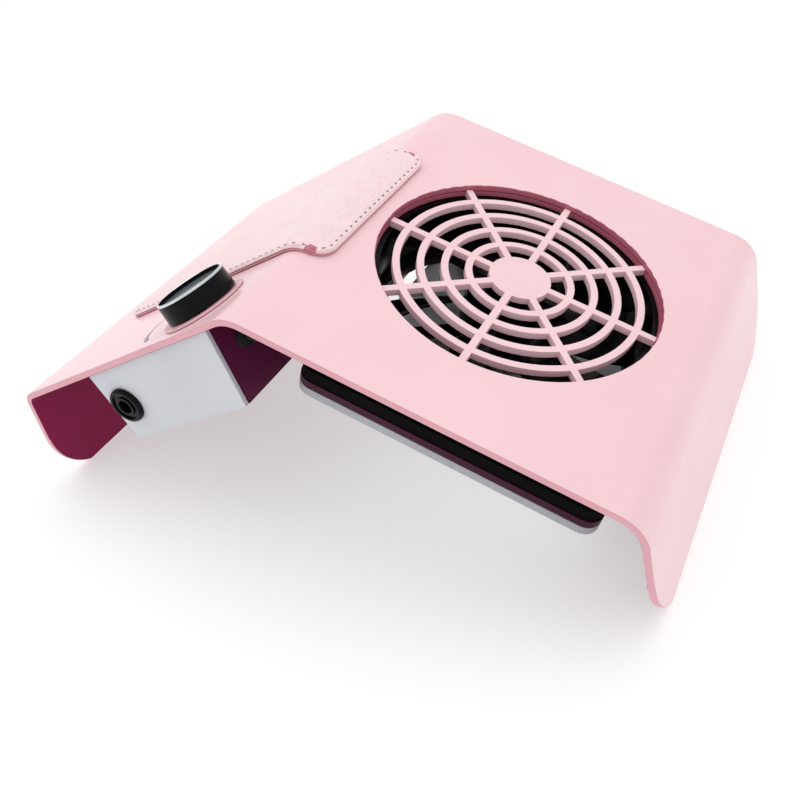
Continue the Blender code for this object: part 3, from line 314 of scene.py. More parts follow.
@dataclass(frozen=True)
class Finish:
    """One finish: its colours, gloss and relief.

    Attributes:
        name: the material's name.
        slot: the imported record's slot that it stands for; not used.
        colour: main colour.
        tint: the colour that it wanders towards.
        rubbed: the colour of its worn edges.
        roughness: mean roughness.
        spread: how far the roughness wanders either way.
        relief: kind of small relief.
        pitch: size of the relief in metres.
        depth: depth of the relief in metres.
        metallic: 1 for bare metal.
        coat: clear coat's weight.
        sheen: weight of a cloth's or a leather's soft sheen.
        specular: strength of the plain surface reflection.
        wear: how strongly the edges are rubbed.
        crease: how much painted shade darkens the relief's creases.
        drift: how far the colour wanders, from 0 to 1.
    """

    name: str
    slot: str
    colour: Colour
    tint: Colour
    rubbed: Colour
    roughness: float
    spread: float
    relief: Relief
    pitch: float
    depth: float
    metallic: float = 0.0
    coat: float = 0.0
    sheen: float = 0.0
    specular: float = 0.5
    wear: float = 0.3
    crease: float = 0.15
    drift: float = 0.5


ENAMEL = Finish("pink_enamel", "pink_enamel", tone(243, 205, 211), tone(240, 198, 206), tone(247, 220, 223),
                0.36, 0.05, Relief.PEEL, 1.6 * MM, 0.012 * MM, coat=0.25, wear=0.35, crease=0.0)
# Painted shade: the sheet's cut edges and trimmed feet get a deeper pink that stands in for the shade on
# them.
ENAMEL_RIM_SHADE = Finish("pink_enamel_rim_shade", "pink_enamel", tone(226, 168, 178), tone(218, 156, 168),
                    tone(238, 192, 198), 0.42, 0.05, Relief.PEEL, 1.4 * MM, 0.012 * MM, crease=0.0)
# Painted shade: the air hole's wall and the grille's outer edge get a dark rose that stands in for the shade
# inside the hole.
HOLE_WALL_SHADE = Finish("pink_enamel_hole_shade", "pink_enamel", tone(188, 104, 124), tone(170, 84, 106),
                   tone(214, 140, 154), 0.42, 0.05, Relief.PEEL, 1.4 * MM, 0.012 * MM, crease=0.0)
# Painted shade: the deep magenta on the sheet's inner faces stands in for the shade under the sheet.
ENAMEL_INSIDE_SHADE = Finish("magenta_painted_shade", "pink_enamel", tone(142, 12, 74), tone(120, 8, 60),
                       tone(150, 60, 96), 0.45, 0.06, Relief.PEEL, 1.4 * MM, 0.015 * MM, specular=0.2,
                       crease=0.05)
GRILLE_PINK = Finish("pink_moulding", "pink_plastic", tone(243, 208, 214), tone(238, 198, 206),
                     tone(248, 224, 227), 0.38, 0.05, Relief.MOULDED, 0.5 * MM, 0.010 * MM, crease=0.05)
LEATHER = Finish("pink_leather", "pink_leather", tone(250, 224, 226), tone(245, 212, 216),
                 tone(250, 226, 226), 0.5, 0.06, Relief.LEATHER, 1.5 * MM, 0.06 * MM, sheen=0.12, wear=0.0,
                 crease=0.16, drift=0.6)
# Painted shade: the darker pink in the tuck beside the ridge stands in for the shadow where the leather
# lifts.
LEATHER_TUCK_SHADE = Finish("leather_tuck_shade", "pink_leather", tone(206, 122, 142), tone(186, 98, 120),
                      tone(220, 150, 164), 0.6, 0.06, Relief.LEATHER, 1.5 * MM, 0.06 * MM, wear=0.0)
BACKING = Finish("rest_backing", "rest_backing", tone(222, 160, 172), tone(205, 140, 154),
                 tone(230, 180, 188), 0.75, 0.05, Relief.MOULDED, 0.4 * MM, 0.02 * MM)
THREAD = Finish("stitch_thread", "pink_leather", tone(150, 112, 124), tone(122, 86, 100), tone(170, 132, 142),
                0.7, 0.08, Relief.DRAWN, 0.3 * MM, 0.03 * MM, sheen=0.2)
INK = Finish("grey_ink", "pink_enamel", tone(150, 148, 152), tone(132, 130, 136), tone(170, 168, 170),
             0.5, 0.05, Relief.MOULDED, 0.4 * MM, 0.004 * MM, drift=0.35)
BLACK = Finish("black_gloss", "black_plastic", tone(9, 9, 11), tone(16, 15, 17), tone(40, 39, 41),
               0.2, 0.04, Relief.MOULDED, 0.9 * MM, 0.004 * MM, specular=0.12, wear=0.25)
FAN_BLACK = Finish("fan_black", "fan_plastic", tone(7, 7, 8), tone(12, 12, 14), tone(34, 34, 36),
                   0.2, 0.05, Relief.MOULDED, 0.6 * MM, 0.01 * MM, specular=0.09)
# Partly painted shade: the ring under the knob is rose plastic, and its tone is darker than the enamel to
# stand in for the shade under the knob.
ROSE_AND_SHADE = Finish("rose_moulding_and_shade", "rose_plastic", tone(234, 182, 192), tone(220, 160, 174), tone(240, 198, 206),
              0.36, 0.05, Relief.MOULDED, 0.5 * MM, 0.010 * MM)
SILVER = Finish("polished_rim", "polished_aluminium", tone(222, 223, 226), tone(206, 208, 212),
                tone(240, 240, 242), 0.16, 0.05, Relief.DRAWN, 0.25 * MM, 0.003 * MM, metallic=1.0,
                crease=0.05)
SMOKED = Finish("smoked_face", "smoked_face", tone(96, 106, 110), tone(70, 80, 84), tone(140, 148, 150),
                0.22, 0.04, Relief.DRAWN, 0.5 * MM, 0.004 * MM, coat=0.15, specular=0.4, crease=0.2)
STEEL = Finish("zinc_steel", "steel", tone(176, 178, 182), tone(150, 152, 158), tone(205, 206, 208),
               0.33, 0.07, Relief.DRAWN, 0.3 * MM, 0.006 * MM, metallic=1.0)
BRASS = Finish("brass", "brass", tone(206, 172, 98), tone(184, 146, 76), tone(226, 200, 140),
               0.3, 0.06, Relief.DRAWN, 0.3 * MM, 0.006 * MM, metallic=1.0)
WHITE = Finish("white_enamel", "white_enamel", tone(208, 210, 216), tone(198, 201, 209), tone(224, 225, 229),
               0.42, 0.05, Relief.PEEL, 1.3 * MM, 0.010 * MM, coat=0.15, crease=0.0, drift=0.6)
# Painted shade: the box's channel, white like its end plates, is painted dark plum for the shade under the
# rear panel.
PLUM_SHADE = Finish("plum_enamel", "plum_enamel", tone(96, 26, 66), tone(80, 18, 54), tone(122, 50, 88),
              0.4, 0.06, Relief.PEEL, 1.3 * MM, 0.012 * MM, specular=0.25, crease=0.0)
# Painted shade: the bag's frame is painted darker plum for the shade under the front panel.
PLATE_SHADE = Finish("dark_plum_painted_shade", "plum_enamel", tone(68, 22, 44), tone(54, 14, 34), tone(104, 50, 74),
               0.4, 0.06, Relief.PEEL, 1.3 * MM, 0.012 * MM, specular=0.15, crease=0.0)
BOARD = Finish("solder_mask", "board_green", tone(30, 92, 56), tone(20, 74, 44), tone(60, 120, 84),
               0.35, 0.05, Relief.MOULDED, 1.2 * MM, 0.02 * MM)
TERMINAL = Finish("terminal_green", "terminal_green", tone(52, 140, 88), tone(40, 120, 74),
                  tone(90, 165, 120), 0.45, 0.05, Relief.MOULDED, 0.5 * MM, 0.01 * MM)
SLEEVE = Finish("capacitor_sleeve", "capacitor_sleeve", tone(34, 42, 78), tone(26, 32, 62), tone(80, 86, 120),
                0.25, 0.05, Relief.MOULDED, 0.8 * MM, 0.006 * MM)
COPPER = Finish("enamelled_copper", "copper", tone(196, 118, 74), tone(170, 92, 54), tone(222, 150, 104),
                0.28, 0.06, Relief.DRAWN, 0.45 * MM, 0.08 * MM, metallic=1.0, crease=0.5)
MAGNET = Finish("ferrite", "magnet", tone(58, 58, 60), tone(44, 44, 46), tone(84, 84, 86),
                0.6, 0.08, Relief.MOULDED, 0.4 * MM, 0.03 * MM)
RUBBER = Finish("rubber", "rubber", tone(28, 28, 29), tone(20, 20, 21), tone(50, 50, 50),
                0.75, 0.06, Relief.MOULDED, 0.5 * MM, 0.02 * MM)
FOAM = Finish("black_foam", "black_foam", tone(13, 13, 14), tone(8, 8, 9), tone(24, 24, 25),
              0.95, 0.03, Relief.FOAM, 0.9 * MM, 0.25 * MM, specular=0.1, crease=0.6, wear=0.0)
CLOTH = Finish("bag_cloth", "bag_cloth", tone(212, 214, 217), tone(198, 200, 204), tone(224, 225, 227),
               0.88, 0.04, Relief.CLOTH, 1.1 * MM, 0.10 * MM, sheen=0.3, wear=0.0, crease=0.22)
ELASTIC = Finish("bag_elastic", "bag_elastic", tone(188, 190, 194), tone(170, 172, 178), tone(205, 206, 208),
                 0.8, 0.05, Relief.CLOTH, 0.8 * MM, 0.12 * MM, sheen=0.3, wear=0.0, crease=0.3)


class Paintbox:
    """Makes each finish's material once."""

    SOFT_TONES = 28.0           # soft changes of tone per metre
    # Painted shade in the relief's creases.
    CREASE_SHADE = 0.35         # a crease's brightness over its finish's
    COAT_ROUGHNESS = 0.12       # of every clear coat

    def __init__(self) -> None:
        """Set out the shared node groups."""
        self.shelf = GroupShelf()
        self.ready: dict[str, bpy.types.Material] = {}

    def material(self, finish: Finish) -> bpy.types.Material:
        """Return the finish's material, made at the first call."""
        if finish.name not in self.ready:
            self.ready[finish.name] = self._mixed(finish)
        return self.ready[finish.name]

    def _mixed(self, finish: Finish) -> bpy.types.Material:
        """Make the material.

        Args:
            finish: what the material has to look like.

        Returns:
            A node material that reads only object coordinates and the faces' own wear mask.
        """
        material = bpy.data.materials.new(finish.name)
        material.use_nodes = True
        material.diffuse_color = (*finish.colour, 1.0)
        sheet = NodeSheet(material.node_tree)
        shader = material.node_tree.nodes["Principled BSDF"]
        place = sheet.add("ShaderNodeTexCoord").outputs["Object"]
        worn = sheet.add("ShaderNodeAttribute", attribute_name="worn").outputs["Fac"]
        drift = sheet.grouped(self.shelf.drift, {
            "Place": place, "Base": (*finish.colour, 1.0), "Tint": (*finish.tint, 1.0),
            "Scale": self.SOFT_TONES, "Amount": finish.drift})
        relief = sheet.grouped(self.shelf.relief(finish.relief), {"Place": place, "Scale": 1 / finish.pitch})
        # Painted shade: the relief's creases are darkened towards a dark copy of the tint.
        shade = sheet.maths("MULTIPLY", relief.outputs["Crease"], finish.crease)
        dark = tuple(value * self.CREASE_SHADE for value in finish.tint)
        creased = sheet.mix(shade, drift.outputs["Color"], (*dark, 1.0))
        rubbed = sheet.grouped(self.shelf.wear, {
            "Place": place, "Base": creased, "Rubbed": (*finish.rubbed, 1.0), "Mask": worn,
            "Amount": finish.wear})
        gloss = sheet.grouped(self.shelf.sheen, {"Place": place, "Roughness": finish.roughness,
                                                 "Spread": finish.spread})
        bump = sheet.add("ShaderNodeBump", {"Height": relief.outputs["Height"], "Strength": 1.0,
                                            "Distance": finish.depth})
        links = material.node_tree.links
        links.new(rubbed.outputs["Color"], shader.inputs["Base Color"])
        links.new(gloss.outputs["Roughness"], shader.inputs["Roughness"])
        links.new(bump.outputs["Normal"], shader.inputs["Normal"])
        shader.inputs["Metallic"].default_value = finish.metallic
        shader.inputs["Coat Weight"].default_value = finish.coat
        shader.inputs["Coat Roughness"].default_value = self.COAT_ROUGHNESS
        shader.inputs["Sheen Weight"].default_value = finish.sheen
        shader.inputs["Specular IOR Level"].default_value = finish.specular
        return material


PAINTBOX = Paintbox()


# ---------------------------------------------------------------- mesh work


def shifted(x: float = 0.0, y: float = 0.0, z: float = 0.0) -> Matrix:
    """Return a translation."""
    return Matrix.Translation((x, y, z))


def placed(shape: bmesh.types.BMesh, matrix: Matrix) -> bmesh.types.BMesh:
    """Return the shape after moving all its points."""
    bmesh.ops.transform(shape, matrix=matrix, verts=shape.verts)
    return shape


def everything(shape: bmesh.types.BMesh) -> list[Any]:
    """Return all points, edges and faces of a shape."""
    return shape.verts[:] + shape.edges[:] + shape.faces[:]


def points_of(made: dict[str, Any]) -> list[bmesh.types.BMVert]:
    """Return the points that an extrusion made."""
    return [item for item in made["geom"] if isinstance(item, bmesh.types.BMVert)]


def open_edges(shape: bmesh.types.BMesh) -> list[bmesh.types.BMEdge]:
    """Return the edges that have a face on one side only."""
    return [edge for edge in shape.edges if edge.is_boundary]


def closed_up(shape: bmesh.types.BMesh) -> bmesh.types.BMesh:
    """Merge doubled points and turn every face outwards."""
    bmesh.ops.remove_doubles(shape, verts=shape.verts, dist=WELD)
    bmesh.ops.recalc_face_normals(shape, faces=shape.faces)
    return shape


def spun(profile: Profile, steps: int) -> bmesh.types.BMesh:
    """Turn a profile about Z.

    Args:
        profile: (radius, height) points; one that starts on the axis also ends there.
        steps: segments of the full turn.

    Returns:
        A closed solid of revolution.
    """
    shape = bmesh.new()
    points = [shape.verts.new((radius, 0, height)) for radius, height in profile]
    edges = [shape.edges.new(pair) for pair in zip(points, points[1:])]
    if profile[0][0] > 0:
        edges.append(shape.edges.new((points[-1], points[0])))
    bmesh.ops.spin(shape, geom=points + edges, cent=(0, 0, 0), axis=(0, 0, 1), angle=math.tau,
                   steps=steps, use_merge=True, use_duplicate=False)
    return closed_up(shape)


def rounded_plate(low_x: float, high_x: float, width: float, radius: float, low: float, high: float,
                  steps: int = 12) -> bmesh.types.BMesh:
    """Make a flat plate with round corners.

    Args:
        low_x: its end towards the rear.
        high_x: its end towards the front.
        width: size along Y, centred on the middle plane.
        radius: corner radius.
        low: lower face's height.
        high: upper face's height.
        steps: segments of each corner.

    Returns:
        The closed plate.
    """
    shape = bmesh.new()
    bmesh.ops.create_grid(shape, x_segments=1, y_segments=1, size=0.5)
    placed(shape, shifted((low_x + high_x) / 2, 0, low) @ Matrix.Diagonal((high_x - low_x, width, 1, 1)))
    bmesh.ops.bevel(shape, geom=shape.verts[:], offset=radius, segments=steps, profile=0.5,
                    affect="VERTICES", material=-1)
    top = bmesh.ops.extrude_face_region(shape, geom=shape.faces[:])
    bmesh.ops.translate(shape, vec=(0, 0, high - low), verts=points_of(top))
    return closed_up(shape)


def softened(shape: bmesh.types.BMesh, radius: float, segments: int = 2,
             corner: float = CORNER) -> bmesh.types.BMesh:
    """Round every sharp edge a little and mark the new faces as worn.

    Args:
        shape: a closed shape with flat sides.
        radius: width of the rounding.
        segments: faces across it.
        corner: bend between faces past which an edge is rounded.

    Returns:
        The same shape.
    """
    edges = [edge for edge in shape.edges
             if len(edge.link_faces) == 2 and edge.calc_face_angle(0.0) > corner]
    made = bmesh.ops.bevel(shape, geom=edges, offset=radius, segments=segments, profile=0.5,
                           affect="EDGES", material=-1, clamp_overlap=True)
    worn = shape.faces.layers.float.get("worn") or shape.faces.layers.float.new("worn")
    for face in made["faces"]:
        if face.is_valid:
            face[worn] = 1.0
    return shape


def carried(*nodes: str) -> bmesh.types.BMesh:
    """Return a merged copy of CAD nodes with their flat faces whole again."""
    shape = bmesh.new()
    for node in nodes:
        shape.from_mesh(frame["nodes"][node].data)
    bmesh.ops.remove_doubles(shape, verts=shape.verts, dist=WELD)
    bmesh.ops.dissolve_limit(shape, angle_limit=math.radians(1), verts=shape.verts, edges=shape.edges)
    return shape


def carved(body: bmesh.types.BMesh, tools: Iterable[bmesh.types.BMesh],
           operation: str = "DIFFERENCE") -> bmesh.types.BMesh:
    """Combine a shape with others by exact Booleans.

    Args:
        body: the shape that is kept.
        tools: the shapes that cut it or join it.
        operation: DIFFERENCE or UNION.

    Returns:
        The result, merged.
    """
    made = []
    for index, shape in enumerate((body, *tools)):
        mesh = bpy.data.meshes.new(f"step_{index}")
        shape.to_mesh(mesh)
        shape.free()
        item = bpy.data.objects.new(mesh.name, mesh)
        bpy.context.scene.collection.objects.link(item)
        made.append(item)
    for tool in made[1:]:
        cut = made[0].modifiers.new(tool.name, "BOOLEAN")
        cut.operation = operation
        cut.solver = "EXACT"
        cut.object = tool
    evaluated = made[0].evaluated_get(bpy.context.evaluated_depsgraph_get())
    result = bmesh.new()
    result.from_mesh(evaluated.to_mesh())
    evaluated.to_mesh_clear()
    for item in made:
        mesh = item.data
        bpy.data.objects.remove(item)
        bpy.data.meshes.remove(mesh)
    bmesh.ops.remove_doubles(result, verts=result.verts, dist=WELD)
    return result


def piece(name: str, shape: bmesh.types.BMesh, finishes: Sequence[Finish], body: str,
          replaces: Sequence[str] = (), even: bool = True) -> bpy.types.Object:
    """Turn a finished shape into a piece of the object.

    Args:
        name: the piece's name.
        shape: its mesh in world coordinates.
        finishes: one finish for each material index.
        body: the CAD body that it moves with.
        replaces: CAD nodes that it stands for.
        even: keep flat faces evenly shaded beside rounded edges.

    Returns:
        The piece's object, at the origin.
    """
    mesh = bpy.data.meshes.new(name)
    shape.to_mesh(mesh)
    shape.free()
    for finish in finishes:
        mesh.materials.append(PAINTBOX.material(finish))
    mesh.shade_smooth()
    mesh.set_sharp_from_angle(angle=SHARP)
    item = bpy.data.objects.new(name, mesh)
    bpy.context.scene.collection.objects.link(item)
    if even:
        normals = item.modifiers.new("even_faces", "WEIGHTED_NORMAL")
        normals.keep_sharp = True
    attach(item, body)
    if replaces:
        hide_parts(*replaces)
    LOG.info("%s: %d faces on %s", name, len(mesh.polygons), body)
    return item


def dressed(node: str, finish: Finish) -> None:
    """Give a CAD node that keeps its shape its finish."""
    item = frame["nodes"][node]
    item.data.materials.clear()
    item.data.materials.append(PAINTBOX.material(finish))
    item.data.set_sharp_from_angle(angle=SHARP)


# ---------------------------------------------------------------- the bent sheet


@dataclass(frozen=True)
class SheetProfile:
    """The stand's section: five flat stretches parted by three bends, on its outer face.

    Attributes:
        width: across the stand.
        thickness: of the sheet.
        ridge_height: of the sharp corner over the ridge.
        rear_run: rear panel's horizontal length.
        rear_shoulder: height of the rear panel's lower corner.
        rear_splay: how far the rear foot stands outside that corner.
        front_run: front panel's horizontal length.
        front_shoulder: height of the front panel's lower corner.
        front_splay: how far the front foot stands outside that corner.
        radii: of the rear bend, the ridge and the front bend.
        flap_corner: corner radius of both flaps.
        bend_steps: segments of each bend.
    """

    width: float = 188 * MM
    thickness: float = 3 * MM
    ridge_height: float = 113.5 * MM
    rear_run: float = 137 * MM
    rear_shoulder: float = 52 * MM
    rear_splay: float = 2.5 * MM
    front_run: float = 149.5 * MM
    front_shoulder: float = 52 * MM
    front_splay: float = 3.5 * MM
    radii: tuple[float, float, float] = (8 * MM, 16 * MM, 16 * MM)
    flap_corner: float = 26 * MM
    bend_steps: int = 20

    @property
    def ridge_x(self) -> float:
        """Place of the ridge along X, with the two feet centred on the origin."""
        return (self.rear_run + self.rear_splay - self.front_run - self.front_splay) / 2

    @property
    def rear_panel(self) -> Matrix:
        """Frame of the rear panel."""
        angle = math.atan2(self.ridge_height - self.rear_shoulder, self.rear_run)
        return shifted(self.ridge_x, 0, self.ridge_height) @ Matrix.Rotation(-angle, 4, "Y")

    @property
    def front_panel(self) -> Matrix:
        """Frame of the front panel."""
        angle = math.atan2(self.ridge_height - self.front_shoulder, self.front_run)
        return shifted(self.ridge_x, 0, self.ridge_height) @ Matrix.Rotation(angle, 4, "Y")

    def stations(self) -> list[tuple[float, Vector, Vector]]:
        """Return (distance along, point, outward normal) in XZ from the rear foot to the front foot."""
        corners = [Vector((self.ridge_x - self.rear_run - self.rear_splay, 0)),
                   Vector((self.ridge_x - self.rear_run, self.rear_shoulder)),
                   Vector((self.ridge_x, self.ridge_height)),
                   Vector((self.ridge_x + self.front_run, self.front_shoulder)),
                   Vector((self.ridge_x + self.front_run + self.front_splay, 0))]
        corners[0] += (corners[0] - corners[1]).normalized() * self.thickness
        corners[4] += (corners[4] - corners[3]).normalized() * self.thickness
        normals = [Vector((start.y - end.y, end.x - start.x)).normalized()
                   for start, end in zip(corners, corners[1:])]
        points = [(corners[0], normals[0])]
        for corner, first, last, radius in zip(corners[1:], normals, normals[1:], self.radii):
            turn = first.angle(last)
            centre = corner - (first + last).normalized() * radius / math.cos(turn / 2)
            for step in range(self.bend_steps + 1):
                normal = Matrix.Rotation(-turn * step / self.bend_steps, 2) @ first
                points.append((centre + normal * radius, normal))
        points.append((corners[4], normals[3]))
        stations = [(0.0, *points[0])]
        for point, normal in points[1:]:
            stations.append((stations[-1][0] + (point - stations[-1][1]).length, point, normal))
        return stations

    def ridge_distance(self) -> float:
        """Return the distance along the face of the ridge's crown."""
        return self.stations()[1 + self.bend_steps + 1 + self.bend_steps // 2][0]


class Bender:
    """Wraps flat shapes round the sheet: X is the distance along it, Z the height above it."""

    def __init__(self, profile: SheetProfile) -> None:
        """Read the stations once."""
        self.stations = profile.stations()
        self.distances = [station[0] for station in self.stations]

    def scored(self, flat: bmesh.types.BMesh) -> bmesh.types.BMesh:
        """Cut the flat shape's faces at every station, so that they can bend there."""
        for distance in self.distances[1:-1]:
            bmesh.ops.bisect_plane(flat, geom=everything(flat), dist=WELD / 10, plane_co=(distance, 0, 0),
                                   plane_no=(1, 0, 0))
        return flat

    def bent(self, flat: bmesh.types.BMesh) -> bmesh.types.BMesh:
        """Return the flat shape wrapped round the sheet."""
        last = len(self.stations) - 1
        for point in flat.verts:
            along, across, rise = point.co
            index = min(max(bisect_left(self.distances, along), 1), last)
            start, first, first_normal = self.stations[index - 1]
            end, second, second_normal = self.stations[index]
            share = (along - start) / (end - start)
            normal = first_normal.lerp(second_normal, share).normalized()
            place = first.lerp(second, share) + normal * rise
            point.co = (place.x, across, place.y)
        return flat


PROFILE = SheetProfile()
BENDER = Bender(PROFILE)
REAR = PROFILE.rear_panel
FRONT = PROFILE.front_panel


def hinge(name: str) -> Vector:
    """Return a point on a turning joint's axis."""
    return Vector(next(joint for joint in frame["joints"] if joint["name"] == name)["pos_m"])


KNOB_PLACE = REAR @ shifted(*(REAR.inverted() @ hinge("knob_turn")).xy)
FAN_PLACE = FRONT @ shifted(*(FRONT.inverted() @ hinge("fan_spin")).xy)


@dataclass
class Stand:
    """The bent enamelled sheet with its printed speed wedge.

    Attributes:
        air_hole: radius of the hole over the fan.
        spindle_hole: radius of the hole under the knob.
        edge_round: rounding of the sheet's cut edges.
        wedge_offset: centre of the printed wedge from the knob's axis, in the panel.
        wedge_radius: its inner radius.
        wedge_widths: its width at the thin and the thick end.
        wedge_angles: where it starts and ends, from the panel's X axis.
        wedge_steps: segments of the wedge.
        ink: height of the print's upper face; the print itself is half as thick.
    """

    air_hole: float = 60 * MM
    spindle_hole: float = 4.6 * MM
    edge_round: float = 0.5 * MM
    wedge_offset: tuple[float, float] = (-12.7 * MM, 5 * MM)
    wedge_radius: float = 21.4 * MM
    wedge_widths: tuple[float, float] = (0.3 * MM, 2.4 * MM)
    wedge_angles: tuple[float, float] = (math.radians(172), math.radians(242))
    wedge_steps: int = 36
    ink: float = 0.05 * MM

    def build(self) -> None:
        """Build the sheet and its print."""
        self.sheet()
        self.wedge()

    def sheet(self) -> bpy.types.Object:
        """Bend the sheet, trim its feet level, cut its holes and round its edges."""
        length = BENDER.distances[-1]
        thickness = PROFILE.thickness
        flat = rounded_plate(0, length, PROFILE.width, PROFILE.flap_corner + thickness, -thickness, 0,
                             steps=18)
        # Faces that point down get index 1, the deep magenta painted shade; faces that point neither up nor
        # down get index 2, the edges' deeper pink painted shade.
        for face in flat.faces:
            face.material_index = 1 if face.normal.z < -0.5 else 0 if face.normal.z > 0.5 else 2
        sheet = BENDER.bent(BENDER.scored(flat))
        bmesh.ops.bisect_plane(sheet, geom=everything(sheet), dist=WELD / 10, plane_co=(0, 0, 0),
                               plane_no=(0, 0, -1), clear_outer=True)
        feet = bmesh.ops.holes_fill(sheet, edges=open_edges(sheet))
        # The trimmed feet get index 2, the cut edges' deeper pink painted shade.
        for face in feet["faces"]:
            face.material_index = 2
        bmesh.ops.recalc_face_normals(sheet, faces=sheet.faces)
        sheet = carved(sheet, [placed(self.drill(self.air_hole, WIDE_ROUND), FAN_PLACE),
                               placed(self.drill(self.spindle_hole, SMALL_ROUND), KNOB_PLACE)])
        # The air hole's wall gets index 3, its dark rose painted shade.
        into_fan = FAN_PLACE.inverted()
        turn = into_fan.to_3x3()
        for face in sheet.faces:
            centre = into_fan @ face.calc_center_median()
            wall = abs((turn @ face.normal).z) < 0.1
            if wall and centre.xy.length < self.air_hole + thickness and abs(centre.z) < 2 * thickness:
                face.material_index = 3
        return piece("enamelled_sheet", softened(sheet, self.edge_round, 3),
                     (ENAMEL, ENAMEL_INSIDE_SHADE, ENAMEL_RIM_SHADE, HOLE_WALL_SHADE), "stand", ["shell"])

    @staticmethod
    def drill(radius: float, steps: int) -> bmesh.types.BMesh:
        """Return a round plug that reaches through the sheet at a panel's origin."""
        below, above = -3 * PROFILE.thickness, PROFILE.thickness
        return spun([(0, below), (radius, below), (radius, above), (0, above)], steps)

    def wedge(self) -> bpy.types.Object:
        """Print the wedge that shows which way the speed grows."""
        start, end = self.wedge_angles
        inner = self.wedge_radius
        strip = bmesh.new()
        points = [strip.verts.new((radius, 0, self.ink)) for radius in (inner, inner + self.wedge_widths[0])]
        rung = strip.edges.new(points)
        bmesh.ops.spin(strip, geom=[*points, rung], cent=(0, 0, 0), axis=(0, 0, 1), angle=end - start,
                       steps=self.wedge_steps, use_merge=False, use_duplicate=False)
        for point in strip.verts:
            if point.co.xy.length > inner + WELD:
                share = (math.atan2(point.co.y, point.co.x) % math.tau) / (end - start)
                growth = self.wedge_widths[0] + (self.wedge_widths[1] - self.wedge_widths[0]) * share
                point.co.xy = point.co.xy.normalized() * (inner + growth)
        foot = bmesh.ops.extrude_face_region(strip, geom=strip.faces[:])
        bmesh.ops.translate(strip, vec=(0, 0, -self.ink / 2), verts=points_of(foot))
        closed_up(strip)
        place = KNOB_PLACE @ shifted(*self.wedge_offset) @ Matrix.Rotation(start, 4, "Z")
        return piece("speed_wedge", placed(strip, place), (INK,), "stand", even=False)


# ---------------------------------------------------------------- grille


@dataclass
class Grille:
    """The round grille: hub, rings and spokes sunk a little under the sheet's outer face.

    Attributes:
        radius: of the air hole.
        sink: bars' top below the sheet's outer face.
        bar: width and depth of every bar.
        rings: number of rings between hub and rim.
        hub: radius of the middle disc.
        spokes: number of spokes.
        cells: segments of a ring between two spokes.
        flange: width of the glued flange under the sheet.
        overlap: how far the flange's ring reaches into the bars' outer ends.
        edge_round: rounding of the bars' edges.
    """

    radius: float = 60 * MM
    sink: float = 2.2 * MM
    bar: float = 3 * MM
    rings: int = 4
    hub: float = 13 * MM
    spokes: int = 8
    cells: int = 10
    flange: float = 4 * MM
    overlap: float = 0.1 * MM
    edge_round: float = 0.5 * MM

    def build(self) -> bpy.types.Object:
        """Build the bars and their flange as one moulding."""
        edge = self.radius - GAP
        space = (edge - self.hub - self.rings * self.bar) / (self.rings + 1)
        radii = [0.0, self.hub]
        for ring in range(self.rings):
            inner = self.hub + space + ring * (space + self.bar)
            radii += [inner, inner + self.bar]
        radii.append(edge)
        bars = self.bars(radii)
        top = -PROFILE.thickness - GAP
        low = -self.sink - self.bar
        ring = spun([(edge - self.overlap, low), (edge + self.flange, low), (edge + self.flange, top),
                     (edge - self.overlap, top)], WIDE_ROUND)
        whole = softened(carved(bars, [ring], "UNION"), self.edge_round)
        # The grille's outer edge and flange get index 1, the hole wall's dark rose painted shade.
        for face in whole.faces:
            if face.calc_center_median().xy.length > edge - self.bar / 4:
                face.material_index = 1
        return piece("grille_moulding", placed(whole, FAN_PLACE), (GRILLE_PINK, HOLE_WALL_SHADE), "stand",
                     ["grille"])

    def bars(self, radii: Sequence[float]) -> bmesh.types.BMesh:
        """Lay a grid out in polar form, drop the openings and give the rest its depth.

        Args:
            radii: centre, hub's edge, both edges of each ring, then the rim.

        Returns:
            The closed lattice, in the panel's frame about the fan's axis.
        """
        columns = self.spokes * (self.cells + 1)
        rows = len(radii) - 1
        shape = bmesh.new()
        bmesh.ops.create_grid(shape, x_segments=columns, y_segments=rows, size=1.0)
        half = self.bar / 2
        openings = []
        for face in shape.faces:
            middle = face.calc_center_median()
            column = int((middle.x + 1) / 2 * columns)
            row = int((middle.y + 1) / 2 * rows)
            if row % 2 and column % (self.cells + 1):
                openings.append(face)
        bmesh.ops.delete(shape, geom=openings, context="FACES")
        for point in shape.verts:
            column = round((point.co.x + 1) / 2 * columns) % columns
            radius = radii[round((point.co.y + 1) / 2 * rows)]
            spread = math.asin(half / max(radius, self.bar))
            spoke, cell = divmod(column, self.cells + 1)
            angle = spoke * math.tau / self.spokes - spread
            if cell:
                sweep = math.tau / self.spokes - 2 * spread
                angle += 2 * spread + sweep * (cell - 1) / self.cells
            point.co = (radius * math.cos(angle), radius * math.sin(angle), -self.sink)
        bmesh.ops.remove_doubles(shape, verts=shape.verts, dist=WELD)
        bmesh.ops.recalc_face_normals(shape, faces=shape.faces)
        lower = bmesh.ops.extrude_face_region(shape, geom=shape.faces[:])
        bmesh.ops.translate(shape, vec=(0, 0, -self.bar), verts=points_of(lower))
        return closed_up(shape)


# ---------------------------------------------------------------- hand rest


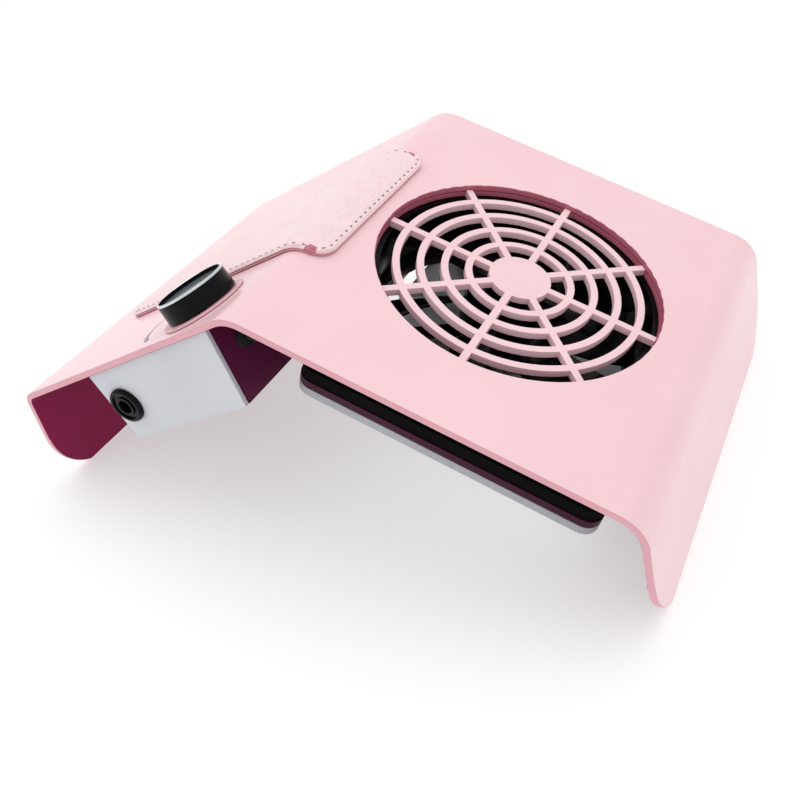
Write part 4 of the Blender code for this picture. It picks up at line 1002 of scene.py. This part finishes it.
@dataclass
class HandRest:
    """The stitched leather pad over the rear panel and the ridge, with its stiff backing.

    Attributes:
        width: across the stand.
        rear: rear edge's distance behind the ridge.
        front: front edge's distance past the ridge.
        corner: corner radius.
        backing: backing's thickness.
        pad: pad's full thickness.
        mesh: size of the pad's faces.
        seam: stitch line's distance inside the edge.
        pitch: distance between stitches.
        stitch: length of a stitch.
        thread: radius of the thread.
        channel: depth of the sewn channel.
        channel_half: half of the channel's width.
        gather: share of the channel's depth that is lost between two stitches.
        crown: how much the middle stands above the channel's edge.
        crown_reach: distance from the seam to the full crown.
        edge_roll: radius of the pad's upper edge.
        pucker: height, length along the seam and length across it of the puckers beside the seam.
        pucker_band: middle and half width of the band beside the seam that puckers.
        slack: height and size of the leather's soft waves.
        tuck: how far the slack leather is drawn in beside the ridge.
        tuck_place: the tuck's distance past the ridge and its half width.
        swells: the same for the swell on either side of the tuck.
        swell: a swell's height over the tuck's depth.
        tuck_reach: how far the tuck reaches into the pad.
        tuck_far: the far side's tuck over the near side's.
        tuck_tone: share of the tuck's depth past which the leather gets a darker pink as painted shade.
        stitch_rise: a stitch's middle above the channel.
        corner_cuts: cuts that round a corner of the sheet of leather.
        base_inset: how far the flat base is drawn in from the skirt, as a share of the pad.
    """

    width: float = 90 * MM
    rear: float = 119 * MM
    front: float = 13 * MM
    corner: float = 8 * MM
    backing: float = 0.8 * MM
    pad: float = 2.6 * MM
    mesh: float = 0.8 * MM
    seam: float = 1.9 * MM
    pitch: float = 3.9 * MM
    stitch: float = 1.7 * MM
    thread: float = 0.36 * MM
    channel: float = 0.4 * MM
    channel_half: float = 0.95 * MM
    gather: float = 0.35
    crown: float = 1.3 * MM
    crown_reach: float = 14 * MM
    edge_roll: float = 0.9 * MM
    pucker: tuple[float, float, float] = (0.16 * MM, 5.5 * MM, 16 * MM)
    pucker_band: tuple[float, float] = (2 * MM, 4 * MM)
    slack: tuple[float, float] = (0.12 * MM, 24 * MM)
    tuck: float = 1.3 * MM
    tuck_place: tuple[float, float] = (5.5 * MM, 2.6 * MM)
    swells: Profile = ((0.5 * MM, 3 * MM), (10 * MM, 2.2 * MM))
    swell: float = 0.3
    tuck_reach: float = 3.2 * MM
    tuck_far: float = 0.5
    tuck_tone: float = 0.3
    stitch_rise: float = 0.12 * MM
    corner_cuts: int = 12
    base_inset: float = 0.02

    PUCKER_SLICE = 3.7      # slice of the noise field that shapes the puckers
    SLACK_SLICE = 0.4       # slice in metres that shapes the soft waves

    def __post_init__(self) -> None:
        """Work out where the pad lies along the sheet."""
        ridge = PROFILE.ridge_distance()
        self.start = ridge - self.rear
        self.end = ridge + self.front
        self.ridge = ridge
        self.low = 2 * GAP + self.backing

    def build(self) -> None:
        """Build pad, stitches and backing."""
        pad = piece("leather_pad", self.leather(), (LEATHER, LEATHER_TUCK_SHADE), "stand", ["hand_rest_pad"],
                    even=False)
        piece("leather_stitches", self.stitches(), (THREAD,), "stand", even=False)
        plate = rounded_plate(self.start, self.end, self.width, self.corner, GAP, GAP + self.backing)
        piece("rest_board", BENDER.bent(BENDER.scored(softened(plate, 0.2 * MM))), (BACKING,), "stand",
              ["hand_rest_backing"])

    def inside(self, along: float, across: float) -> float:
        """Return how far a point lies inside the pad's round-cornered outline."""
        reach_x = (self.end - self.start) / 2 - self.corner
        reach_y = self.width / 2 - self.corner
        past_x = abs(along - (self.start + self.end) / 2) - reach_x
        past_y = abs(across) - reach_y
        outside = math.hypot(max(past_x, 0), max(past_y, 0)) + min(max(past_x, past_y), 0)
        return self.corner - outside

    def height(self, along: float, across: float) -> float:
        """Return the pad's upper face above the sheet at one point.

        Args:
            along: distance along the sheet.
            across: distance from the middle plane.

        Returns:
            The height, with rolled edge, sewn channel, puckers, crown and slack.
        """
        depth = max(self.inside(along, across), 0.0)
        rise = min(depth / self.edge_roll, 1.0)
        roll = self.edge_roll * math.sqrt(max(1 - (1 - rise) ** 2, 0))
        height = self.low + self.pad - self.crown - self.edge_roll + roll
        past_seam = depth - self.seam
        lift = min(max(past_seam / self.crown_reach, 0.0), 1.0)
        height += self.crown * lift * (2 - lift)
        run = along if abs(across) > self.width / 2 - 2 * self.corner else across
        pull = 1 - self.gather + self.gather * math.cos(math.tau * run / self.pitch)
        height -= self.channel * pull * self.bump(past_seam, 0.0, self.channel_half)
        rise_of_pucker, length, reach = self.pucker
        fold = noise.noise(Vector((run / length, depth / reach, self.PUCKER_SLICE)))
        height += rise_of_pucker * fold * self.bump(past_seam, *self.pucker_band)
        waves, size = self.slack
        height += waves * noise.noise(Vector((along, across, self.SLACK_SLICE)) / size)
        return height - self.pinch(along - self.ridge, depth, across) * min(rise * 2, 1.0)

    @staticmethod
    def bump(place: float, middle: float, half: float) -> float:
        """Return a smooth bell of height 1 round its middle."""
        return math.exp(-((place - middle) / half) ** 2)

    def pinch(self, past: float, depth: float, across: float) -> float:
        """Return how far the slack leather is drawn in where its side turns over the ridge.

        Args:
            past: distance past the ridge.
            depth: distance inside the pad's outline.
            across: distance from the middle plane.

        Returns:
            The depth of the tuck, with a swell on either side of it.
        """
        drawn_in = self.bump(past, *self.tuck_place)
        swollen = sum(self.bump(past, middle, half) for middle, half in self.swells)
        reach = self.bump(depth, 0.0, self.tuck_reach)
        share = 1.0 if across < 0 else self.tuck_far
        return share * reach * self.tuck * (drawn_in - self.swell * swollen)

    def leather(self) -> bmesh.types.BMesh:
        """Lay out a fine sheet, cut its corners round, raise it and close it below."""
        shape = bmesh.new()
        length = self.end - self.start
        bmesh.ops.create_grid(shape, x_segments=round(length / self.mesh),
                              y_segments=round(self.width / self.mesh), size=0.5)
        middle = (self.start + self.end) / 2
        placed(shape, shifted(middle) @ Matrix.Diagonal((length, self.width, 1, 1)))
        reach = Vector((length / 2 - self.corner, self.width / 2 - self.corner))
        for side_x in (-1, 1):
            for side_y in (-1, 1):
                centre = Vector((middle + side_x * reach.x, side_y * reach.y, 0))
                for step in range(1, self.corner_cuts):
                    angle = math.pi / 2 * step / self.corner_cuts
                    normal = Vector((side_x * math.cos(angle), side_y * math.sin(angle), 0))
                    bmesh.ops.bisect_plane(shape, geom=everything(shape), dist=WELD, plane_no=normal,
                                           plane_co=centre + normal * self.corner, clear_outer=True)
        # Faces deep in the tuck get index 1, the darker pink painted shade.
        for face in shape.faces:
            spot = face.calc_center_median()
            tucked = self.pinch(spot.x - self.ridge, self.inside(spot.x, spot.y), spot.y)
            face.material_index = 1 if tucked > self.tuck_tone * self.tuck else 0
        for point in shape.verts:
            point.co.z = self.height(point.co.x, point.co.y)
        skirt = bmesh.ops.extrude_edge_only(shape, edges=open_edges(shape))
        for point in points_of(skirt):
            point.co.z = self.low
        base = bmesh.ops.extrude_edge_only(shape, edges=open_edges(shape))
        for point in points_of(base):
            point.co.x += (middle - point.co.x) * self.base_inset
            point.co.y *= 1 - self.base_inset
        bmesh.ops.holes_fill(shape, edges=open_edges(shape))
        bmesh.ops.recalc_face_normals(shape, faces=shape.faces)
        return BENDER.bent(shape)

    def seam_line(self) -> list[tuple[Vector, Vector]]:
        """Return each stitch's (place, direction) round the sewn line, in the flat."""
        radius = self.corner - self.seam
        low_x, high_x = self.start + self.seam, self.end - self.seam
        half = self.width / 2 - self.seam
        straight_x, straight_y = high_x - low_x - 2 * radius, 2 * (half - radius)
        quarter = radius * math.pi / 2
        lengths = [straight_x, quarter, straight_y, quarter] * 2
        count = round(sum(lengths) / self.pitch)
        corners = [Vector((high_x - radius, -half + radius)), Vector((high_x - radius, half - radius)),
                   Vector((low_x + radius, half - radius)), Vector((low_x + radius, -half + radius))]
        stitches = []
        for index in range(count):
            run = sum(lengths) * index / count
            leg = 0
            while run > lengths[leg]:
                run -= lengths[leg]
                leg += 1
            turn = (leg // 2) * math.pi / 2
            heading = Vector((math.cos(turn), math.sin(turn)))
            outward = Vector((heading.y, -heading.x))
            corner = corners[leg // 2]
            if leg % 2 == 0:
                place = corner + outward * radius - heading * (lengths[leg] - run)
            else:
                swing = Matrix.Rotation(run / radius, 2)
                heading, outward = swing @ heading, swing @ outward
                place = corner + outward * radius
            stitches.append((place, heading))
        return stitches

    def stitches(self) -> bmesh.types.BMesh:
        """Sew short rounded stitches into the channel all round."""
        shape = bmesh.new()
        for place, heading in self.seam_line():
            made = bmesh.ops.create_uvsphere(shape, u_segments=6, v_segments=5, radius=self.thread)
            stretch = Matrix.Diagonal((self.stitch / (2 * self.thread), 1, 0.8, 1))
            turn = Matrix.Rotation(math.atan2(heading.y, heading.x), 4, "Z")
            height = self.height(place.x, place.y) + self.stitch_rise
            bmesh.ops.transform(shape, matrix=shifted(place.x, place.y, height) @ turn @ stretch,
                                verts=made["verts"])
        return BENDER.bent(shape)


# ---------------------------------------------------------------- speed knob


@dataclass
class SpeedKnob:
    """The speed knob: glossy body, bright rim, smoked face, and the ring that it stands on.

    Attributes:
        top_radius: at the upper edge.
        base_radius: at the lower edge.
        low: body's lower face above the panel.
        high: rim's upper face above the panel.
        foot: points of the body's rounded foot, from the base radius and the lower face.
        cavity: radius and depth of the hollow below.
        cap: thickness of the body's floor under the face.
        rim: width of the bright rim.
        rim_height: height of the bright rim's outside.
        rim_inside: points of the rim's inner edge, from its inner radius and its upper face.
        rim_outside: points of its outer edge, from the body's upper radius and the upper face.
        rim_lap: how far the rim is let into the body.
        recess: face's depth below the rim.
        dish: how far the face is hollowed.
        dish_rings: rings of faces across the dish.
        dish_fit: clearance round the face.
        dish_thick: thickness of the face's edge.
        bezel_bore: ring's inner radius.
        bezel_radius: ring's outer radius.
        bezel_height: ring's height.
    """

    top_radius: float = 14.8 * MM
    base_radius: float = 15.2 * MM
    low: float = 1.3 * MM
    high: float = 10.3 * MM
    foot: Profile = ((-0.15 * MM, 0.6 * MM), (0.0, 0.4 * MM), (-0.3 * MM, 0.0))
    cavity: tuple[float, float] = (11.5 * MM, 2.4 * MM)
    cap: float = 1.2 * MM
    rim: float = 0.8 * MM
    rim_height: float = 0.9 * MM
    rim_inside: Profile = ((-0.05 * MM, -0.15 * MM), (0.12 * MM, 0.0))
    rim_outside: Profile = ((-0.35 * MM, 0.0), (-0.08 * MM, -0.15 * MM), (0.0, -0.42 * MM))
    rim_lap: tuple[float, float] = (0.2 * MM, 0.02 * MM)
    recess: float = 1.7 * MM
    dish: float = 0.5 * MM
    dish_rings: int = 14
    dish_fit: float = 0.15 * MM
    dish_thick: float = 1.0 * MM
    bezel_bore: float = 8 * MM
    bezel_radius: float = 18 * MM
    bezel_height: float = 0.7 * MM

    def __post_init__(self) -> None:
        """Work out the rim's inner radius and the heights that the pieces share."""
        self.inner = self.top_radius - self.rim
        self.floor = self.high - self.recess
        self.shoulder = self.high - self.rim_height

    def build(self) -> None:
        """Build the four pieces on the knob's axis."""
        piece("knob_shell", self.turned(self.body_line()), (BLACK,), "knob", ["knob_body"])
        trim = spun(self.rim_line(), KNOB_ROUND)
        for face in trim.faces:
            centre = face.calc_center_median()
            if centre.xy.length < self.inner + 0.1 * MM and centre.z < self.high - 0.2 * MM:
                face.material_index = 1
        piece("knob_trim", placed(trim, KNOB_PLACE), (SILVER, BLACK), "knob", ["knob_rim"])
        piece("knob_dish", self.turned(self.dish_line()), (SMOKED,), "knob", ["knob_face"])
        # The ring's darker rose is partly painted shade under the knob.
        piece("knob_ring", self.turned(self.bezel_line()), (ROSE_AND_SHADE,), "stand", ["knob_bezel"])
        dressed("spindle", STEEL)

    @staticmethod
    def turned(line: Profile) -> bmesh.types.BMesh:
        """Return a profile turned about the knob's axis."""
        return placed(spun(line, KNOB_ROUND), KNOB_PLACE)

    def body_line(self) -> Profile:
        """Return the body's profile, from the axis under the face down to the hollow."""
        hollow, depth = self.cavity
        line = [(0, self.floor - self.cap), (self.inner, self.floor - self.cap), (self.inner, self.shoulder),
                (self.top_radius, self.shoulder)]
        line += [(self.base_radius + out, self.low + rise) for out, rise in self.foot]
        return line + [(hollow, self.low), (hollow, self.low + depth), (0, self.low + depth)]

    def rim_line(self) -> Profile:
        """Return the bright rim's profile, up its inside and down its outside."""
        lap, drop = self.rim_lap
        line = [(self.inner + self.rim_inside[0][0], self.floor)]
        line += [(self.inner + out, self.high + rise) for out, rise in self.rim_inside]
        line += [(self.top_radius + out, self.high + rise) for out, rise in self.rim_outside]
        return line + [(self.top_radius, self.shoulder + drop), (self.inner + lap, self.shoulder + drop),
                       (self.inner + lap, self.floor)]

    def dish_line(self) -> Profile:
        """Return the hollowed face's profile."""
        span = self.inner - self.dish_fit
        shares = [step / self.dish_rings for step in range(self.dish_rings + 1)]
        line = [(span * share, self.floor - self.dish * (1 - share ** 2)) for share in shares]
        return line + [(span, self.floor - self.dish_thick), (0, self.floor - self.dish_thick)]

    def bezel_line(self) -> Profile:
        """Return the profile of the ring under the knob."""
        edge = self.bezel_height / 2
        return [(self.bezel_bore, GAP), (self.bezel_radius, GAP), (self.bezel_radius, GAP + edge),
                (self.bezel_radius - 0.35 * edge, GAP + 1.6 * edge),
                (self.bezel_radius - edge, GAP + 2 * edge), (self.bezel_bore, GAP + 2 * edge)]


# ---------------------------------------------------------------- control box


@dataclass
class ControlBox:
    """The folded box under the rear panel, its end plates, inlet and electronics.

    Attributes:
        fold_round: rounding of the channel's folds.
        end_round: rounding of the end plates' edges.
        inlet_rim: outer radius of the inlet's flange.
        inlet_socket: radius of its socket.
        inlet_depth: socket's depth inside the end plate.
        collar: points of the collar round the socket, outside the socket and over the end plate.
        lip: points of the flange's raised lip, inside its edge and over the end plate.
        barrel: radius and length of the inlet's threaded part.
    """

    fold_round: float = 0.7 * MM
    end_round: float = 0.55 * MM
    inlet_rim: float = 8.3 * MM
    inlet_socket: float = 3.2 * MM
    inlet_depth: float = 9 * MM
    collar: Profile = ((0.0, 2.0 * MM), (0.3 * MM, 2.3 * MM), (1.3 * MM, 2.3 * MM), (1.5 * MM, 1.5 * MM))
    lip: Profile = ((2.0 * MM, 1.5 * MM), (1.8 * MM, 2.3 * MM), (1.0 * MM, 2.4 * MM), (0.4 * MM, 2.1 * MM),
                    (0.0, 1.4 * MM))
    barrel: tuple[float, float] = (5.4 * MM, 13 * MM)

    def build(self) -> None:
        """Build the box's pieces and dress what it holds."""
        # The channel's dark plum is painted shade.
        piece("box_channel", softened(carried("control_box_body"), self.fold_round, 3), (PLUM_SHADE,), "stand",
              ["control_box_body"])
        for side in ("near", "far"):
            node = f"control_box_end_{side}"
            piece(f"box_end_{side}", softened(carried(node), self.end_round, 3), (WHITE,), "stand", [node])
        self.inlet()
        finishes = {"circuit_board": BOARD, "board_rail_1": BLACK, "board_rail_2": BLACK, "capacitor": SLEEVE,
                    "inductor": COPPER, "heatsink": SILVER, "power_transistor": BLACK,
                    "terminal_block": TERMINAL, "potentiometer": STEEL, "potentiometer_nut": BRASS,
                    "inlet_nut": STEEL, "inlet_pin": BRASS, "lead_grommet": RUBBER, "fan_lead": RUBBER}
        finishes.update({f"box_rivet_{index}": STEEL for index in COPIES})
        for node, finish in finishes.items():
            dressed(node, finish)

    def inlet(self) -> bpy.types.Object:
        """Turn the inlet: a stepped flange with a raised rim round the socket."""
        low, high = (Vector(corner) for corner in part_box("inlet_pin"))
        axis = (low + high) / 2
        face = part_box("control_box_end_near")[0].y
        barrel, length = self.barrel
        line = [(0, self.inlet_depth), (self.inlet_socket, self.inlet_depth)]
        line += [(self.inlet_socket + out, -rise) for out, rise in self.collar]
        line += [(self.inlet_rim - inset, -rise) for inset, rise in self.lip]
        line += [(self.inlet_rim, -GAP), (barrel, -GAP), (barrel, length), (0, length)]
        place = shifted(axis.x, face, axis.z) @ Matrix.Rotation(-math.pi / 2, 4, "X")
        return piece("inlet_socket", placed(spun(line, INLET_ROUND), place), (BLACK,), "stand",
                     ["power_inlet"])


# ---------------------------------------------------------------- fan


@dataclass
class Fan:
    """The square fan under the grille.

    Attributes:
        flange: thickness of the frame's two square flanges.
        waist: radius of the duct's outside between them.
        frame_round: rounding of the frame's edges.
        hub: rotor hub's radius.
        hub_edge: points of the hub's rounded edge, inside its radius and below its top.
        hub_wall: thickness of the hub's wall.
        hub_roof: thickness of the hub's top.
        tip: blades' outer radius.
        blades: number of blades.
        blade_cells: faces along and across a blade.
        blade_thick: thickness of a blade.
        blade_round: rounding of a blade's edges.
        blade_root: how far a blade reaches into the hub.
        camber: how far a blade's middle is bowed.
        root_chord: blade's width at the hub.
        tip_chord: blade's width at the tip.
        root_pitch: blade's angle at the hub.
        tip_pitch: blade's angle at the tip.
        sweep: how far the tip leads the root.
    """

    flange: float = 4.2 * MM
    waist: float = 59.4 * MM
    frame_round: float = 0.4 * MM
    hub: float = 20 * MM
    hub_edge: Profile = ((2.2 * MM, 0.0), (1.2 * MM, 0.25 * MM), (0.3 * MM, 0.9 * MM), (0.0, 1.8 * MM))
    hub_wall: float = 1.5 * MM
    hub_roof: float = 2 * MM
    tip: float = 55 * MM
    blades: int = 7
    blade_cells: tuple[int, int] = (18, 8)
    blade_thick: float = 1.5 * MM
    blade_round: float = 0.3 * MM
    blade_root: float = 0.8 * MM
    camber: float = 0.9 * MM
    root_chord: float = 16 * MM
    tip_chord: float = 25 * MM
    root_pitch: float = math.radians(38)
    tip_pitch: float = math.radians(29)
    sweep: float = math.radians(16)

    def build(self) -> None:
        """Build the frame and the rotor and dress the motor."""
        body = placed(carried("fan_frame"), FAN_PLACE.inverted())
        heights = [point.co.z for point in body.verts]
        low, high = min(heights), max(heights)
        reach = max(point.co.x for point in body.verts)
        pocket = rounded_plate(-reach - MM, reach + MM, 2 * reach + 2 * MM, 2 * MM, low + self.flange,
                               high - self.flange, steps=3)
        drum = spun([(0, low), (self.waist, low), (self.waist, high), (0, high)], FAN_ROUND)
        body = softened(carved(body, [carved(pocket, [drum])]), self.frame_round)
        piece("fan_housing", placed(body, FAN_PLACE), (FAN_BLACK,), "stand", ["fan_frame"])
        piece("fan_wheel", placed(self.wheel(), FAN_PLACE), (FAN_BLACK,), "rotor", ["fan_rotor"], even=False)
        for node, finish in (("rotor_magnet", MAGNET), ("rotor_shaft", STEEL), ("stator_core", STEEL),
                             ("stator_winding", COPPER), ("fan_bearing_1", STEEL), ("fan_bearing_2", STEEL)):
            dressed(node, finish)
        for index in COPIES:
            dressed(f"fan_stud_{index}", STEEL)
            dressed(f"fan_nut_{index}", STEEL)

    @staticmethod
    def levels(node: str) -> tuple[float, float]:
        """Return a CAD node's lowest and highest level in the fan's frame."""
        into = FAN_PLACE.inverted()
        levels = [(into @ vertex.co).z for vertex in frame["nodes"][node].data.vertices]
        return min(levels), max(levels)

    def wheel(self) -> bmesh.types.BMesh:
        """Build the hub with its swept, cambered blades, about the fan's axis."""
        top = self.levels("fan_rotor")[1]
        low = self.levels("rotor_magnet")[0] - MM
        inner, roof = self.hub - self.hub_wall, top - self.hub_roof
        edge = [(self.hub - inset, top - drop) for inset, drop in self.hub_edge]
        hub = spun([(0, top), *edge, (self.hub, low), (inner, low), (inner, roof), (0, roof)], FAN_ROUND)
        middle = (top + low) / 2
        for index in range(self.blades):
            turn = Matrix.Rotation(math.tau * index / self.blades, 4, "Z")
            blade = placed(self.blade(), shifted(z=middle) @ turn)
            mesh = bpy.data.meshes.new("blade")
            blade.to_mesh(mesh)
            blade.free()
            hub.from_mesh(mesh)
            bpy.data.meshes.remove(mesh)
        return hub

    def blade(self) -> bmesh.types.BMesh:
        """Return one blade, lofted from a flat grid and given its thickness."""
        shape = bmesh.new()
        along_cells, across_cells = self.blade_cells
        bmesh.ops.create_grid(shape, x_segments=along_cells, y_segments=across_cells, size=0.5)
        root = self.hub - self.blade_root
        for point in shape.verts:
            share = point.co.x + 0.5
            side = point.co.y
            radius = root + (self.tip - root) * share
            chord = self.root_chord + (self.tip_chord - self.root_chord) * share
            pitch = self.root_pitch + (self.tip_pitch - self.root_pitch) * share
            along = side * chord
            camber = self.camber * (1 - (2 * side) ** 2)
            rise = along * math.sin(pitch) + camber * math.cos(pitch)
            arc = (along * math.cos(pitch) - camber * math.sin(pitch)) / radius + self.sweep * share
            point.co = (radius * math.cos(arc), radius * math.sin(arc), rise)
        bmesh.ops.solidify(shape, geom=shape.faces[:], thickness=self.blade_thick)
        bmesh.ops.recalc_face_normals(shape, faces=shape.faces)
        return softened(shape, self.blade_round)


# ---------------------------------------------------------------- dust bag


@dataclass
class DustBag:
    """The foam gasket, the bag's frame with posts and screws, and the cloth bag.

    Attributes:
        gasket_round: rounding of the gasket's edges.
        plate_round: rounding of the frame's edges.
        hem_round: rounding of the elastic hem.
        voxel: cell size of the cloth's mesh.
        pressure: air pressure that fills the bag.
        quality: solver steps for each step of the simulation.
        frames: steps of the simulation.
        cap: farthest that a point may move.
    """

    gasket_round: float = 0.5 * MM
    plate_round: float = 0.9 * MM
    hem_round: float = 1.3 * MM
    voxel: float = 3.5 * MM
    pressure: float = 4.0
    quality: int = 6
    frames: int = 20
    cap: float = 4 * MM

    def build(self) -> None:
        """Build the pieces under the fan."""
        piece("gasket_foam", softened(carried("foam_gasket"), self.gasket_round), (FOAM,), "stand",
              ["foam_gasket"])
        # The frame's dark plum is painted shade.
        piece("bag_plate", softened(carried("bag_frame"), self.plate_round, 3), (PLATE_SHADE,), "stand",
              ["bag_frame"])
        piece("bag_band", softened(carried("bag_hem"), self.hem_round, 4), (ELASTIC,), "bag", ["bag_hem"])
        bag = piece("cloth_bag", carried("dust_bag"), (CLOTH,), "bag", ["dust_bag"], even=False)
        self.fill(bag)
        smooth = bag.modifiers.new("smooth", "SUBSURF")
        smooth.levels = smooth.render_levels = 1
        for index in COPIES:
            dressed(f"frame_post_{index}", STEEL)
            dressed(f"frame_screw_{index}", STEEL)

    def fill(self, bag: bpy.types.Object) -> None:
        """Blow the bag up gently as cloth, then keep it within its cap and under its frame.

        Args:
            bag: the piece whose mesh is filled and replaced.
        """
        into = FRONT.inverted()
        ceiling = max((into @ vertex.co).z for vertex in bag.data.vertices)
        remesh = bag.modifiers.new("remesh", "REMESH")
        remesh.mode = "VOXEL"
        remesh.voxel_size = self.voxel
        self.apply(bag)
        rest = [vertex.co.copy() for vertex in bag.data.vertices]
        cloth = bag.modifiers.new("cloth", "CLOTH")
        cloth.settings.use_pressure = True
        cloth.settings.uniform_pressure_force = self.pressure
        cloth.settings.effector_weights.gravity = 0.0
        cloth.settings.quality = self.quality
        cloth.point_cache.frame_end = self.frames
        for step in range(1, self.frames + 1):
            bpy.context.scene.frame_set(step)
        self.apply(bag)
        bpy.context.scene.frame_set(1)
        for vertex, start in zip(bag.data.vertices, rest):
            move = vertex.co - start
            if move.length > self.cap:
                move *= self.cap / move.length
            local = into @ (start + move)
            local.z = min(local.z, ceiling)
            vertex.co = FRONT @ local
        bag.data.shade_smooth()

    @staticmethod
    def apply(item: bpy.types.Object) -> None:
        """Make the object's evaluated shape its own mesh and drop its modifiers."""
        evaluated = item.evaluated_get(bpy.context.evaluated_depsgraph_get())
        mesh = bpy.data.meshes.new_from_object(evaluated)
        item.modifiers.clear()
        item.data = mesh


# ---------------------------------------------------------------- studio


@dataclass(frozen=True)
class Lamp:
    """A square soft light that faces the object.

    Attributes:
        name: the light's name.
        place: where it hangs, in metres.
        size: its side in metres.
        power: its power in watts.
    """

    name: str
    place: tuple[float, float, float]
    size: float
    power: float

    def hang(self, target: tuple[float, float, float]) -> None:
        """Hang the light and turn it to a point."""
        light = bpy.data.lights.new(self.name, "AREA")
        light.size = self.size
        light.energy = self.power
        lamp = bpy.data.objects.new(self.name, light)
        bpy.context.scene.collection.objects.link(lamp)
        lamp.location = self.place
        lamp.rotation_mode = "QUATERNION"
        lamp.rotation_quaternion = (Vector(target) - lamp.location).to_track_quat("-Z", "Y")


@dataclass
class Studio:
    """The pale floor, the soft lights and the camera.

    Attributes:
        eye: camera's place.
        azimuth: camera's turn round the object, from the side with the inlet.
        elevation: camera's angle above the horizon.
        roll: camera's tilt about its own axis.
        lens: focal length in millimetres.
        sensor: width of the camera's sensor in millimetres.
        shift: camera's frame shift in X and Y.
        nearest: distance from which the camera sees things.
        floor: side of the floor.
        floor_tone: brightness of the floor's surface.
        floor_glow: strength of the floor's own light.
        sky: brightness of the surroundings.
        target: point that the lamps face.
        lamps: the soft lights.
    """

    eye: tuple[float, float, float] = (0.20076, -0.29240, 0.26993)
    azimuth: float = math.radians(32.31)
    elevation: float = math.radians(35.48)
    roll: float = math.radians(-11.27)
    lens: float = 40.81
    sensor: float = 36.0
    shift: tuple[float, float] = (-0.0426, -0.0325)
    nearest: float = 0.01
    floor: float = 8.0
    floor_tone: float = 0.6
    floor_glow: float = 0.46
    sky: float = 0.8
    target: tuple[float, float, float] = (0, 0, 0.05)
    lamps: tuple[Lamp, ...] = (Lamp("key_light", (-0.75, 0.1, 1.15), 0.9, 3.0),
                               Lamp("top_light", (0.35, 0.35, 1.3), 0.9, 3.5),
                               Lamp("side_light", (-0.5, -1.2, 0.5), 0.7, 0.4))

    def build(self) -> None:
        """Set up floor, surroundings, lights and camera."""
        bpy.context.scene.view_settings.view_transform = "Standard"
        self.lay_floor()
        self.surround()
        for lamp in self.lamps:
            lamp.hang(self.target)
        self.camera()

    def lay_floor(self) -> None:
        """Lay the pale matt floor."""
        shape = bmesh.new()
        bmesh.ops.create_grid(shape, x_segments=4, y_segments=4, size=self.floor / 2)
        mesh = bpy.data.meshes.new("studio_floor")
        shape.to_mesh(mesh)
        shape.free()
        pale = bpy.data.materials.new("pale_floor")
        pale.use_nodes = True
        shader = pale.node_tree.nodes["Principled BSDF"]
        shader.inputs["Base Color"].default_value = (*3 * (self.floor_tone,), 1)
        shader.inputs["Roughness"].default_value = 0.9
        shader.inputs["Specular IOR Level"].default_value = 0.0
        shader.inputs["Emission Color"].default_value = (1, 1, 1, 1)
        shader.inputs["Emission Strength"].default_value = self.floor_glow
        mesh.materials.append(pale)
        floor = bpy.data.objects.new("studio_floor", mesh)
        bpy.context.scene.collection.objects.link(floor)

    def surround(self) -> None:
        """Set the plain white surroundings."""
        world = bpy.data.worlds.new("surroundings")
        world.use_nodes = True
        backdrop = world.node_tree.nodes["Background"]
        backdrop.inputs["Color"].default_value = (1.0, 1.0, 1.0, 1)
        backdrop.inputs["Strength"].default_value = self.sky
        bpy.context.scene.world = world

    def camera(self) -> None:
        """Place the camera."""
        data = bpy.data.cameras.new("camera")
        data.lens = self.lens
        data.sensor_width = self.sensor
        data.shift_x, data.shift_y = self.shift
        data.clip_start = self.nearest
        camera = bpy.data.objects.new("camera", data)
        bpy.context.scene.collection.objects.link(camera)
        level = math.cos(self.elevation)
        back = Vector((math.sin(self.azimuth) * level, -math.cos(self.azimuth) * level,
                       math.sin(self.elevation)))
        facing = (-back).to_track_quat("-Z", "Y").to_matrix().to_4x4()
        camera.matrix_world = shifted(*self.eye) @ facing @ Matrix.Rotation(self.roll, 4, "Z")
        bpy.context.scene.camera = camera


def main() -> None:
    """Build every sub-assembly in order."""
    logging.basicConfig(level=logging.INFO, format="%(name)s %(message)s")
    Studio().build()
    for part in (Stand(), Grille(), HandRest(), SpeedKnob(), ControlBox(), Fan(), DustBag()):
        LOG.info("building %s", type(part).__name__)
        part.build()


if __name__ == "__main__":
    main()
